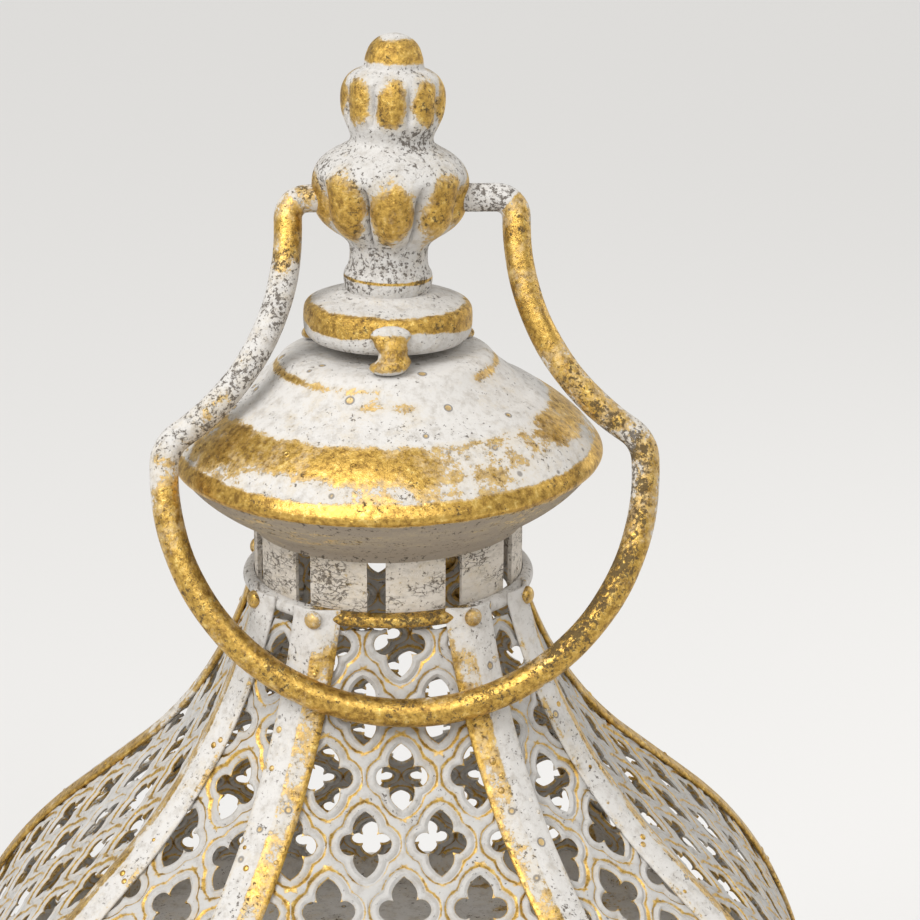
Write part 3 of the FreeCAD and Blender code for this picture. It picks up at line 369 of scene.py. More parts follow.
# Spun steel: a clean white top, and an underside whose darker chalk is painted shade under the rim,
# streaked across by the brush.
crown_finish = chalk_over_leaf("chalk_washed_spun_crown", leaf=-0.12, umber=0.35, pits=0.5,
                               sand=0.22)
# Painted shade: chalk #9C9080 darkens the whole underside to stand for the shade under the crown's
# rim.
under_painted_shade_finish = chalk_over_leaf("thin_washed_crown_underside", leaf=0.0, umber=0.6, sand=0.2,
                               grain=(1, 1, 4.5), chalk="#9C9080", film=0.6)
# Rolled neck: thick chalk that cracked as it dried, and a dirty wire hoop round it.
neck_finish = chalk_over_leaf("crackled_chalk_neck", leaf=0.02, umber=0.75, crackle=0.85,
                              sand=0.3, grain=(1, 1, 2.2), chalk="#D3CBC0", film=0.7)
collar_finish = chalk_over_leaf("worn_gilt_collar", leaf=0.05, umber=0.7, sand=0.3)
# Sand-cast metal: a coarse skin that holds chalk in its grains.
cast_finish = chalk_over_leaf("chalk_washed_gilt_casting", leaf=-0.12, umber=0.55, sand=0.85)
# Round rod, carried by hand: mostly leaf, and umber where the leaf is gone.
bail_finish = chalk_over_leaf("handled_gilt_rod", leaf=0.32, umber=0.5, sand=0.3)
band_finish = chalk_over_leaf("chalk_washed_gilt_band", leaf=0.1, umber=0.35, pits=0.2,
                              sand=0.25)
print(len(bpy.data.materials), "painted finishes")

# %% [markdown]
# ### Plain metals
# The sheet's inside is a dark umber, painted shade for the dim inside of the lantern, and nearly
# matt. Hidden hardware is dull steel, the knob is brass that hands have polished, and the pan is
# sooty tinplate.

# %% plain metals


def dull_metal(name, light, dark, metallic, rough, patch_mm):
    """Metal whose tone and shine wander over patches of the given size."""
    material = bpy.data.materials.new(name)
    material.use_nodes = True
    tree = material.node_tree
    shader = tree.nodes["Principled BSDF"]
    place = add_node(tree, "ShaderNodeTexCoord").outputs["Object"]
    patch = add_node(tree, NOISE, None, Vector=place, Scale=1 / (patch_mm * MM), Detail=5.0,
                     Roughness=0.65)
    fine = add_node(tree, NOISE, None, Vector=place, Scale=1 / (0.8 * MM), Detail=3.0)
    amount = add_node(tree, RANGE, EASED, Value=patch, From_Min=0.36, From_Max=0.64)
    tone = add_node(tree, MIX, COLOUR, i0=amount, i6=srgb(light), i7=srgb(dark))
    tree.links.new(tone.outputs[2], shader.inputs["Base Color"])
    shader.inputs["Metallic"].default_value = metallic
    gloss = add_node(tree, MATH, TIMES_PLUS, i0=patch, i1=0.25, i2=rough - 0.12)
    tree.links.new(gloss.outputs[0], shader.inputs["Roughness"])
    bump = add_node(tree, "ShaderNodeBump", None, Height=fine, Strength=0.35,
                    Distance=0.15 * MM)
    tree.links.new(bump.outputs[0], shader.inputs["Normal"])
    return material


# Painted shade: the inner face's dark umber stands for the dim inside of the lantern.
inside_painted_shade_finish = dull_metal("umber_primed_tinplate_inside", "#5C5749", "#3B372D", 0.0, 0.8, 6)
steel_finish = dull_metal("dulled_steel_hardware", "#8A857C", "#4A463F", 0.9, 0.45, 2)
brass_finish = dull_metal("handled_brass_knob", "#C79A45", "#8A6525", 1.0, 0.33, 3)
pan_finish = dull_metal("soot_darkened_pan", "#8B8172", "#423A30", 0.3, 0.6, 8)
print(len(bpy.data.materials), "finishes in all")

# %% [markdown]
# ## The pierced and embossed sheet
# The real sheet is run flat through a press that punches four-lobed holes and raises a
# bead round each one, then it is cut to shape and rolled. Punching holes in a finished
# curved panel would need hundreds of cuts. Here one repeat of the pattern is
# triangulated once, tiled by Geometry Nodes and bent onto the panel's outline, then
# trimmed, which is the order the workshop follows too.

# %% one repeat of the pattern
PITCH, REPEAT = 15.1, 26.8                # mm across and up between holes in line
LOBE_REACH, LOBE_RISE = 5.2, 6.7          # mm from a hole's middle to its lobes' tips


def quarter_hole():
    """The hole's outline in its first quadrant, from the side tip up to the top tip."""
    side_centre, side_radius = LOBE_REACH - 2.1, 2.1
    points = [(side_centre + side_radius * math.cos(a), side_radius * math.sin(a))
              for a in np.radians(np.linspace(0, 112, 9))]
    bend = [(2.31, 1.95), (3.1, 3.9), (1.7, 5.7), (0.0, LOBE_RISE)]
    for t in np.linspace(0, 1, 11):
        weights = ((1 - t) ** 3, 3 * t * (1 - t) ** 2, 3 * t * t * (1 - t), t ** 3)
        points.append(tuple(sum(w * p[i] for w, p in zip(weights, bend)) for i in (0, 1)))
    return np.array(points)


quarter = quarter_hole()
print("a hole is %.1f by %.1f mm" % (2 * LOBE_REACH, 2 * LOBE_RISE))

# %% distances in the repeat
half_pitch, half_repeat = PITCH / 2, REPEAT / 2
around = np.vstack([quarter, (quarter * (-1, 1))[::-1], quarter * (-1, -1),
                    (quarter * (1, -1))[::-1]])
neighbour = around + (half_pitch, half_repeat)


def distance_to_holes(points):
    """Millimetres from each point to the nearest hole's outline."""
    points = np.asarray(points, dtype=float)
    best = np.full(len(points), 1e9)
    for ring in (around, neighbour):
        a, b = ring, np.roll(ring, -1, axis=0)
        run = b - a
        size = np.maximum((run ** 2).sum(1), 1e-12)
        t = np.clip(((points[:, None] - a) * run).sum(2) / size, 0, 1)
        near = a + t[..., None] * run
        best = np.minimum(best, np.sqrt(((points[:, None] - near) ** 2).sum(2)).min(1))
    return best


middle_gap = distance_to_holes([(half_pitch, 0)])[0]
print("the web between two holes in line is %.1f mm wide" % (2 * middle_gap))

# %% the sheet between the holes


def ring_points(spacing, offsets):
    """Corners on lines that follow the hole at each offset, inside the quarter cell."""
    closed = np.vstack([around, around[:1]])
    run = np.diff(closed, axis=0)
    length = np.r_[0, np.cumsum(np.hypot(*run.T))]
    places = np.arange(0, length[-1], spacing)
    spot = np.stack([np.interp(places, length, closed[:, i]) for i in (0, 1)], 1)
    ahead = np.stack([np.interp((places + 0.05) % length[-1], length, closed[:, i])
                      for i in (0, 1)], 1)
    along = ahead - spot
    along /= np.hypot(*along.T)[:, None]
    out = np.stack([along[:, 1], -along[:, 0]], 1)
    found = []
    for offset in offsets:
        for centre, flip in (((0, 0), 1), ((half_pitch, half_repeat), -1)):
            p = (spot + out * offset) * flip + centre
            inside = ((p > 0.16) & (p < (half_pitch - 0.16, half_repeat - 0.16))).all(1)
            p = p[inside]
            found.append(p[distance_to_holes(p) > 0.97 * offset])
    return np.vstack(found)


def quarter_cell():
    """Triangles covering the sheet between two quarter holes."""
    other = (half_pitch, half_repeat) - quarter
    edge = [tuple(p) for p in quarter[::-1]]                      # top tip to side tip
    edge += [(x, 0.0) for x in np.linspace(LOBE_REACH, half_pitch, 6)[1:-1]]
    edge += [(half_pitch, y) for y in np.linspace(0, half_repeat - LOBE_RISE, 11)[:-1]]
    edge += [tuple(p) for p in other[::-1]]
    edge += [(x, half_repeat) for x in np.linspace(half_pitch - LOBE_REACH, 0, 6)[1:-1]]
    edge += [(0.0, y) for y in np.linspace(half_repeat, LOBE_RISE, 11)[:-1]]
    inner = ring_points(0.62, (0.3, 0.75, 1.2, 1.6, 2.0, 2.5, 3.1))
    keep = [inner[0]]
    for p in inner[1:]:
        if min(np.hypot(*(np.array(keep) - p).T)) > 0.3:
            keep.append(p)
    corners = [Vector(p) for p in edge] + [Vector(p) for p in keep]
    made = delaunay_2d_cdt(corners, [], [list(range(len(edge)))], 1, 1e-5)
    return np.array([tuple(v) for v in made[0]]), [list(f) for f in made[2]]


flat, triangles = quarter_cell()
corners, faces = [], []
for sx, sy in ((1, 1), (-1, 1), (-1, -1), (1, -1)):
    first = len(corners)
    corners += [(x * sx, y * sy) for x, y in flat]
    for face in triangles:
        a, b, c = (flat[i] for i in face)
        left = (b[0] - a[0]) * (c[1] - a[1]) - (b[1] - a[1]) * (c[0] - a[0]) > 0
        order = face if left == (sx * sy > 0) else face[::-1]
        faces.append([first + i for i in order])
corners = np.array(corners)
gap = distance_to_holes(np.abs(corners))
print("one repeat has %d triangles" % len(faces))

# %% [markdown]
# The relief comes from one number: how far a corner is from the nearest hole. A bead rises
# just outside each hole, a groove runs round it and the next ridge closes the repeat. Gold
# is left on the far side of the groove and in a thin line at the hole.

# %% relief and gilding of one repeat
BEAD, RELIEF = 1.62, 0.62                 # mm: groove's distance from the hole, height
bead = np.sin(np.pi * np.clip(gap / BEAD, 0, 1)) ** 1.3
ridge = smooth_step(BEAD, BEAD + 0.75, gap)
height = RELIEF * (0.85 * bead + ridge)
gild = 1.05 * np.exp(-((gap - BEAD - 0.30) / 0.24) ** 2) + 0.62 * np.exp(-(gap / 0.2) ** 2)
cell = new_object("pattern_cell", new_mesh(
    "pattern_cell", np.column_stack([corners * MM, height * MM]), faces, gild=gild))
print("bead %.2f mm wide, relief %.2f mm" % (BEAD, RELIEF))

# %% [markdown]
# ### Tiling and bending with Geometry Nodes
# A grid of points carries one repeat each. The tiles are realised and welded, and every
# corner is moved: its height up the sheet becomes a distance along an outline curve,
# and its relief is pushed out along the outline's normal. Any outline bends the sheet.

# %% the press and roll tree


def press_tree(name):
    tree = bpy.data.node_groups.new(name, "GeometryNodeTree")
    face = tree.interface
    face.new_socket("Geometry", in_out="OUTPUT", socket_type="NodeSocketGeometry")
    for label, kind in (("Cell", "NodeSocketObject"), ("Outline", "NodeSocketObject"),
                        ("Columns", "NodeSocketInt"), ("Rows", "NodeSocketInt"),
                        ("Pitch", "NodeSocketFloat"), ("Repeat", "NodeSocketFloat"),
                        ("Shift", "NodeSocketFloat"), ("Start", "NodeSocketFloat"),
                        ("Finish", "NodeSocketMaterial")):
        face.new_socket(label, in_out="INPUT", socket_type=kind)
    given = tree.nodes.new("NodeGroupInput").outputs

    rows_less_one = add_node(tree, MATH, MINUS, i0=given["Rows"], i1=1.0)
    columns_less_one = add_node(tree, MATH, MINUS, i0=given["Columns"], i1=1.0)
    tall = add_node(tree, MATH, TIMES, i0=given["Repeat"], i1=rows_less_one)
    broad = add_node(tree, MATH, TIMES, i0=given["Pitch"], i1=columns_less_one)
    grid = add_node(tree, "GeometryNodeMeshGrid", None, Size_X=broad, Size_Y=tall,
                    Vertices_X=given["Columns"], Vertices_Y=given["Rows"])
    tile = add_node(tree, "GeometryNodeObjectInfo", None, Object=given["Cell"])
    tiles = add_node(tree, "GeometryNodeInstanceOnPoints", None, Points=grid.outputs["Mesh"],
                     Instance=tile.outputs["Geometry"])
    sheet = add_node(tree, "GeometryNodeRealizeInstances", None,
                     Geometry=tiles.outputs["Instances"])
    welded = add_node(tree, "GeometryNodeMergeByDistance", None,
                      Geometry=sheet.outputs["Geometry"], Distance=0.02 * MM)
    spot = add_node(tree, "GeometryNodeInputPosition")
    axes = add_node(tree, "ShaderNodeSeparateXYZ", None, Vector=spot).outputs
    down = add_node(tree, MATH, TIMES_PLUS, i0=tall, i1=0.5, i2=axes["Y"])
    down = add_node(tree, MATH, {"operation": "ADD"}, i0=down, i1=given["Start"])
    outline = add_node(tree, "GeometryNodeObjectInfo", None, Object=given["Outline"])
    sample = add_node(tree, "GeometryNodeSampleCurve",
                      {"mode": "LENGTH", "use_all_curves": True},
                      Curves=outline.outputs["Geometry"], Length=down)
    spot = add_node(tree, "ShaderNodeSeparateXYZ", None, Vector=sample.outputs["Position"]).outputs
    way = add_node(tree, "ShaderNodeSeparateXYZ", None, Vector=sample.outputs["Tangent"]).outputs
    # The outline runs down, so its outward normal is its tangent turned a quarter.
    outward_x = add_node(tree, MATH, TIMES, i0=way["Z"], i1=axes["Z"])
    x = add_node(tree, MATH, MINUS, i0=spot["X"], i1=outward_x)
    z = add_node(tree, MATH, TIMES_PLUS, i0=way["X"], i1=axes["Z"], i2=spot["Z"])
    side = add_node(tree, MATH, MINUS, i0=given["Shift"], i1=axes["X"])
    there = add_node(tree, "ShaderNodeCombineXYZ", None, X=x, Y=side, Z=z)
    bent = add_node(tree, "GeometryNodeSetPosition", None,
                    Geometry=welded.outputs["Geometry"], Position=there.outputs[0])
    painted = add_node(tree, "GeometryNodeSetMaterial", None,
                       Geometry=bent.outputs["Geometry"], Material=given["Finish"])
    end = tree.nodes.new("NodeGroupOutput")
    tree.links.new(painted.outputs["Geometry"], end.inputs[0])
    return tree


press = press_tree("press_and_roll")
print("press tree has %d nodes" % len(press.nodes))

# %% running a tree


def run_tree(name, tree, **inputs):
    """Evaluate a tree on an empty carrier mesh and hand back the finished mesh."""
    carrier = new_object(name, bpy.data.meshes.new(name))
    modifier = carrier.modifiers.new(name, "NODES")
    modifier.node_group = tree
    for item in tree.interface.items_tree:
        key = item.name.replace(" ", "_")
        if item.in_out == "INPUT" and key in inputs:
            modifier[item.identifier] = inputs[key]
    return baked(carrier)


def guide_curve(name, points):
    """A bare poly curve for a tree to sample."""
    curve = bpy.data.curves.new(name, "CURVE")
    curve.dimensions = "3D"
    line = curve.splines.new("POLY")
    line.points.add(len(points) - 1)
    for target, (x, z) in zip(line.points, points):
        target.co = (x, 0, z, 1)
    return new_object(name, curve)


# %% [markdown]
# ### The roof's outline
# At a corner the roof sweeps in, runs straight and rolls over a shoulder to the eave.
# A panel's own outline is the same line drawn closer to the axis, by the cosine of half
# the angle that the panel spans.

# %% roof outline
ROOF_CORNER = [(31.6, 0.0), (63.4, 51.4), (85.3, 70.1), (121.4, 122.0)]   # radius, depth in mm
ROOF_BULGE = (-4.5, 0.0, 4.03)
CORNER = 30.0                             # degrees from each wide panel's middle


def roof_line(lap=0.0):
    """The corner outline as (radius, depth) points; lap starts it above the ring."""
    points = [(ROOF_CORNER[0][0], -lap)] if lap else []
    for (r0, d0), (r1, d1), bulge in zip(ROOF_CORNER, ROOF_CORNER[1:], ROOF_BULGE):
        run = math.hypot(r1 - r0, d1 - d0)
        for t in np.arange(0, 1, 0.025):
            sag = 4 * t * (1 - t) * bulge
            points.append((r0 + (r1 - r0) * t + sag * (d1 - d0) / run,
                           d0 + (d1 - d0) * t - sag * (r1 - r0) / run))
    return np.array(points + [ROOF_CORNER[-1]])


def panel_guide(name, half_angle, inset):
    """A roof panel's outline in its own plane, drawn in by the sheet's depth."""
    line = roof_line()
    radius = line[:, 0] * math.cos(math.radians(half_angle)) - inset
    return guide_curve(name, [(r * MM, ring_z - d * MM)
                              for r, d in zip(radius, line[:, 1])])


SHEET, INSET = 0.7, 0.75                  # mm: sheet, and its place under the ribs' wings
wide_guide = panel_guide("roof_outline_wide", CORNER, INSET)
narrow_guide = panel_guide("roof_outline_narrow", 45 - CORNER, INSET)
print("outline has %d points" % len(roof_line()))

# %% [markdown]
# ### Cutting the sheet out
# The tiled sheet is larger than a panel. It is cut along the two planes through the corners
# and level at the top and the eave, as shears would, and only then gets its wall, so the
# cut edges show the metal's thickness.

# %% trimming and thickening


def trimmed(mesh, planes):
    """Cut the sheet along planes, keeping the side their normals point away from."""
    work = bmesh.new()
    work.from_mesh(mesh)
    for point, normal in planes:
        bmesh.ops.bisect_plane(work, geom=work.verts[:] + work.edges[:] + work.faces[:],
                               dist=1e-7, plane_co=point, plane_no=normal, clear_outer=True)
    bmesh.ops.delete(work, geom=[v for v in work.verts if not v.link_faces], context="VERTS")
    work.to_mesh(mesh)
    work.free()
    return mesh


def thickened(mesh, thickness):
    """Give the sheet its inner face, as a second finish, and its cut edges."""
    thing = new_object(mesh.name, mesh)
    wall = thing.modifiers.new("wall", "SOLIDIFY")
    wall.thickness = thickness * MM
    wall.offset = -1
    wall.material_offset = 1
    mesh.materials.clear()
    mesh.materials.append(pierced_finish)
    # The inner face gets the dark umber, which is painted shade.
    mesh.materials.append(inside_painted_shade_finish)
    return baked(thing)


def roof_panel(name, guide, half_angle, start_mm, first_row, shift_mm):
    """One panel facing +X: pressed, bent down the outline, cut to its sector, walled."""
    mesh = run_tree(name, press, Cell=cell, Outline=guide, Columns=9, Rows=7,
                    Pitch=PITCH * MM, Repeat=REPEAT * MM, Shift=shift_mm * MM,
                    Start=first_row * MM, Finish=pierced_finish)
    a = math.radians(half_angle)
    clear = 0.2 * MM
    edge = Vector((-math.sin(a), math.cos(a), 0))
    other = Vector((-math.sin(a), -math.cos(a), 0))
    trimmed(mesh, [(edge * -clear, edge), (other * -clear, other),
                   (Vector((0, 0, ring_z - start_mm * MM)), Vector((0, 0, 1))),
                   (Vector((0, 0, roof_base_z + 0.3 * MM)), Vector((0, 0, -1))),
                   (Vector((5 * MM, 0, 0)), Vector((-1, 0, 0)))])
    return thickened(mesh, SHEET)


wide_panel = roof_panel("roof_sheet_wide", wide_guide, CORNER, 2.6, 5.8 - REPEAT, 1.3)
narrow_panel = roof_panel("roof_sheet_narrow", narrow_guide, 45 - CORNER, 2.6, 12.0 - REPEAT, 0.0)
for mesh in (wide_panel, narrow_panel):
    print(mesh.name, len(mesh.polygons), "faces")

# %% the eight roof panels


def hang_panels(mesh, turns, prefix):
    """A turned copy of one sheet in each bay, in place of that bay's solid."""
    for label, degrees in turns.items():
        finish_piece(prefix + label, turned_about_z(mesh, degrees),
                     [pierced_finish, inside_painted_shade_finish], [prefix + label], sharp=50)


WIDE_TURNS = {"front": -90, "right": 0, "back": 90, "left": 180}
NARROW_TURNS = {"front_right": -45, "back_right": 45, "back_left": 135, "front_left": -135}
hang_panels(wide_panel, WIDE_TURNS, "roof_panel_")
hang_panels(narrow_panel, NARROW_TURNS, "roof_panel_")
print("roof panels:", len(WIDE_TURNS) + len(NARROW_TURNS))

# %% [markdown]
# ## Turned and cast pieces
# Spun sheet and round castings are outlines turned about the axis. A few measured
# corners give the outline and a smooth line is drawn through them. A function of the
# angle then carves lobes, and another says where the gold is left.

# %% turning helpers


def smooth_line(points, steps=6):
    """A rounded line through the points (Catmull-Rom)."""
    p = np.array(points, dtype=float)
    p = np.vstack([2 * p[0] - p[1], p, 2 * p[-1] - p[-2]])
    line = []
    for a, b, c, d in zip(p, p[1:], p[2:], p[3:]):
        for t in np.arange(steps) / steps:
            line.append(0.5 * (2 * b + (c - a) * t + (2 * a - 5 * b + 4 * c - d) * t * t
                               + (3 * b - a - 3 * c + d) * t ** 3))
    line.append(p[-2])
    line = np.array(line)
    line[:, 0] = np.maximum(line[:, 0], 0.0)
    return line


def turned_piece(name, line, segments=144, carve=None, gild=None, closed=False, soil=None):
    """Turn a line of (radius, height) in mm; angle 0 faces the door side."""
    angle = np.arange(segments) * 2 * math.pi / segments
    radius, z = line[:, 0][:, None], line[:, 1][:, None]
    theta = angle[None, :]
    r = np.repeat(radius, segments, 1)
    if carve is not None:
        r = r * carve(theta, r, z + 0 * theta)
    zz = np.repeat(z, segments, 1)
    corners = np.stack([r * np.sin(theta), -r * np.cos(theta), zz], 2).reshape(-1, 3) * MM
    n = len(line)
    faces = []
    for i in range(n if closed else n - 1):
        k = (i + 1) % n
        for j in range(segments):
            m = (j + 1) % segments
            faces.append((i * segments + j, i * segments + m, k * segments + m,
                          k * segments + j))
    marks = {}
    for label, given in (("gild", gild), ("soil", soil)):
        value = given(theta, np.repeat(radius, segments, 1), zz) if given else 0 * zz
        marks[label] = np.broadcast_to(value, zz.shape).reshape(-1)
    return outward(new_mesh(name, corners, faces, **marks))


def lean(mesh, degrees, about_z, axis="Y"):
    """Tilt a finished mesh about a point on the axis, as hand fitting leaves it."""
    pivot = Matrix.Translation((0, 0, about_z))
    mesh.transform(pivot @ Matrix.Rotation(math.radians(degrees), 4, axis) @ pivot.inverted())
    return mesh


def bump_window(x, low, high, ease):
    """1 between low and high, 0 outside them, with soft ends."""
    return smooth_step(low - ease, low + ease, x) * (1 - smooth_step(high - ease, high + ease, x))


print("an outline of 4 corners becomes", len(smooth_line([(0, 0), (1, 0), (1, 1), (2, 1)])), "points")

# %% [markdown]
# ### Finial
# One casting: an egg-shaped bud of six faint lobes, a small ball and a larger one of eight
# each, and a waisted neck. A founder would cut the grooves in the pattern, so here they are
# carved by the angle, only over the belly of each ball. Gold stays on the lobes' faces,
# where the rubbing cloth touched.

# %% finial
FINIAL_LEAN = 1.7                         # degrees: the casting sits slightly askew
LOBES, BUD_LOBES = 8, 6
LOW_FIRST, HIGH_FIRST, BUD_FIRST = 0, -4, 12     # degrees to the middle of the first lobe
# Radius and height above the collar ring, in mm, from the foot disc up to the tip.
FINIAL = [(8.6, 61.4), (8.9, 62.4), (9.1, 63.6), (9.1, 64.7), (8.9, 65.5), (8.3, 66.6),
          (8.05, 68.0), (8.0, 69.7), (8.3, 71.2), (9.6, 72.5), (11.6, 73.7), (13.6, 75.3),
          (15.1, 77.5), (15.8, 80.3), (16.0, 83.0), (15.7, 85.6), (14.6, 87.8),
          (12.6, 89.6), (10.3, 90.9), (8.8, 91.9), (8.4, 92.9), (8.7, 94.2), (9.5, 95.9),
          (10.3, 98.0), (10.6, 100.8), (10.3, 103.2), (9.2, 105.2), (7.6, 106.4),
          (6.3, 107.0), (6.0, 107.9), (5.8, 109.2), (5.0, 111.2), (3.6, 112.7), (1.7, 113.6),
          (0.0, 113.9)]


def groove(theta, count, first, sharp):
    """1 at the middle of a lobe, 0 at the bottom of the groove between two."""
    return np.abs(np.cos(0.5 * count * (theta - math.radians(first)))) ** sharp


def carve_finial(theta, r, z):
    """How much of the radius is left at each angle and height."""
    z = z - ring_z / MM
    low = bump_window(z, 73.0, 84.0, 2.6) * (1 - groove(theta, LOBES, LOW_FIRST, 0.5)) * 0.32
    high = bump_window(z, 97.0, 103.5, 2.4) * (1 - groove(theta, LOBES, HIGH_FIRST, 0.5)) * 0.25
    bud = bump_window(z, 108.0, 111.0, 1.5) * (1 - groove(theta, BUD_LOBES, BUD_FIRST, 0.8)) * 0.05
    return 1 - low - high - bud


def oval(theta, z, count, first, middle, half_height, half_width):
    """A soft oval patch on the face of each lobe; 1 in its middle, 0 at its edge."""
    turn = math.tau / count
    off = (theta - math.radians(first) + turn / 2) % turn - turn / 2
    return 1 - np.sqrt((off / (half_width * turn)) ** 2 + ((z - middle) / half_height) ** 2)


def gild_finial(theta, r, z):
    """Rubbed gold: an oval on each lobe, the top of the bud and the bead at the foot."""
    z = z - ring_z / MM
    low = 1.9 * np.clip(oval(theta, z, LOBES, LOW_FIRST, 79.8, 9.8, 0.66), -0.4, 0.6)
    high = 1.9 * np.clip(oval(theta, z, LOBES, HIGH_FIRST, 101.2, 7.0, 0.6), -0.4, 0.6)
    bud = 1.2 * bump_window(z, 108.2, 112.8, 0.9)
    bead_line = 1.1 * np.exp(-((z - 64.6) / 0.35) ** 2)
    return np.maximum(np.maximum(low, high), 0) + bud + bead_line


def soil_finial(theta, r, z):
    """Dirt in the waists between the balls, where a cloth doesn't reach."""
    z = z - ring_z / MM
    neck = bump_window(z, 62, 72.5, 2.0) + 0.8 * bump_window(z, 91.0, 95.5, 1.5)
    return 0.9 * neck + 0.35 * bump_window(z, 86, 91, 2) + 0.5 * bump_window(z, 106.3, 108, 0.6)


finial_line = smooth_line(FINIAL, 5) + (0, ring_z / MM)
finial_line = np.vstack([[(3.2, finial_line[0, 1])], finial_line])
finial_mesh = lean(turned_piece("finial", finial_line, 240, carve_finial, gild_finial,
                                soil=soil_finial), FINIAL_LEAN, ring_z + 61 * MM)
finish_piece("finial", finial_mesh, cast_finish, ["finial"], sharp=60)
print("finial %d faces" % len(finial_mesh.polygons))

# %% [markdown]
# ### Foot disc
# A thick turned disc under the casting, with soft edges. It is one more outline turned
# about the axis, because nothing on it changes with the angle but the wear.

# %% foot disc
DISC_LEAN = 0.8                           # degrees: the braze let it settle to one side
DISC = [(3.2, 51.7), (14.6, 51.7), (16.2, 52.0), (17.1, 53.0), (17.4, 54.6), (17.4, 57.0),
        (17.1, 58.4), (16.1, 59.3), (13.6, 60.2), (11.0, 60.9), (9.4, 61.6), (3.2, 61.65)]


def gild_disc(theta, r, z):
    """A rubbed band round the disc's edge, a little wavy along its lower side."""
    z = z - ring_z / MM
    band_low = 55.6 + 0.9 * np.sin(3 * theta + 0.7)
    return 1.25 * bump_window(z, band_low, 59.3, 0.6) * (r > 14.5)


disc_line = smooth_line(DISC, 4) + (0, ring_z / MM)
disc_mesh = lean(turned_piece("foot_disc", disc_line, 144, None, gild_disc, closed=True),
                 DISC_LEAN, ring_z + 52 * MM)
finish_piece("foot_disc", disc_mesh, cast_finish, ["foot_disc"], sharp=60)
print("foot disc %d faces" % len(disc_mesh.polygons))

# %% [markdown]
# ### Brazed lugs
# Three lumps of braze hold the foot disc off the crown. Brazing leaves a puddle, not a
# machined shape, so each lug is a few overlapping drops melted into one skin by a voxel
# remesh and then smoothed.

# %% lugs
LUG_CIRCLE = 17.0                         # mm from the axis to the lugs' root
# Across, outward and up to each drop's middle, then its three half sizes, in mm.
DROPS = [(0.0, 0.4, 56.2, 4.2, 1.7, 2.1), (0.5, 1.2, 53.4, 3.0, 1.9, 2.6),
         (-0.6, 2.4, 50.2, 4.0, 2.6, 1.5), (1.9, 1.8, 51.2, 2.2, 1.7, 1.6),
         (-1.7, 1.3, 54.8, 1.7, 1.4, 1.5), (0.2, 1.0, 52.0, 2.8, 2.7, 2.3)]


def braze_lug(name, degrees, drops, tucked):
    """One lug at an angle, tucked in under the disc by some mm."""
    work = bmesh.new()
    for x, out, z, rx, ry, rz in drops:
        place = (Matrix.Translation(Vector((x, tucked - LUG_CIRCLE - out, ring_z / MM + z)) * MM)
                 @ Matrix.Diagonal((rx * MM, ry * MM, rz * MM, 1)))
        bmesh.ops.create_icosphere(work, subdivisions=3, radius=1, matrix=place)
    mesh = bpy.data.meshes.new(name)
    work.to_mesh(mesh)
    work.free()
    thing = new_object(name, mesh)
    melt = thing.modifiers.new("melt", "REMESH")
    melt.mode, melt.voxel_size = "VOXEL", 0.45 * MM
    calm = thing.modifiers.new("calm", "SMOOTH")
    calm.iterations, calm.factor = 3, 0.5
    mesh = turned_about_z(baked(thing), degrees)
    layer = mesh.attributes.new("gild", "FLOAT", "POINT")
    heights = np.array([v.co.z for v in mesh.vertices]) / MM - ring_z / MM
    layer.data.foreach_set("value", (0.75 * bump_window(heights, 49.6, 56.5, 0.6))
                           .astype(np.float32))
    return finish_piece(name, mesh, cast_finish, [name], sharp=80)


for label, degrees in (("front", 0), ("back_right", 120), ("back_left", 240)):
    lug = braze_lug("lug_" + label, degrees, DROPS, 0.0 if label == "front" else 1.8)
    print(lug.name, len(lug.data.polygons), "faces")

# %% [markdown]
# ### Crown
# Two spun shells meet in a rolled rim. The upper one steps down from a small plate in
# soft shoulders; the lower one coves in to the neck. Both are turned lines with a wall,
# and both sit a degree or two out of true, as a hand-spun cap does.

# %% crown
CROWN_TILT, CROWN_NOD = 1.0, 0.8          # degrees out of true, sideways and forwards
CROWN = [(3.3, 49.2), (10.0, 49.2), (16.0, 49.1), (19.6, 48.8), (21.6, 48.0), (22.9, 46.6),
         (24.3, 45.1), (26.6, 43.2), (29.3, 41.2), (31.4, 40.2), (33.8, 38.6), (37.9, 35.7),
         (41.2, 32.7), (43.5, 30.0), (44.7, 28.3), (45.0, 27.1), (44.6, 26.2)]


def with_wall(outer, wall):
    """Close a line into a shell by coming back along its inner side."""
    run = np.gradient(outer, axis=0)
    run /= np.hypot(*run.T)[:, None]
    inner = outer + np.stack([run[:, 1], -run[:, 0]], 1) * wall
    inner[:, 0] = np.maximum(inner[:, 0], outer[:, 0].min())
    return np.vstack([outer, inner[::-1]])


def gild_crown(theta, r, z):
    """Gold on the spun steps: a broken line, a broad worn belt and the rolled rim."""
    z = z - ring_z / MM
    shoulder = 0.85 * np.exp(-((r - 22.9) / 0.7) ** 2) * (0.6 + 0.4 * np.sin(2 * theta - 2.2))
    step = 0.5 * np.exp(-((r - 25.5) / 1.3) ** 2) * bump_window(np.sin(theta), -0.25, 0.25, 0.2)
    wide = 0.95 * bump_window(r, 33.6, 40.2, 1.3) * (0.85 + 0.2 * np.sin(3 * theta + 2.6))
    low = 0.6 * bump_window(r, 40.0, 43.4, 0.8) * (0.75 + 0.35 * np.sin(4 * theta + 0.4))
    rim = 1.45 * smooth_step(43.0, 44.2, r)
    return (shoulder + step + wide + low + rim) * (z > 26)


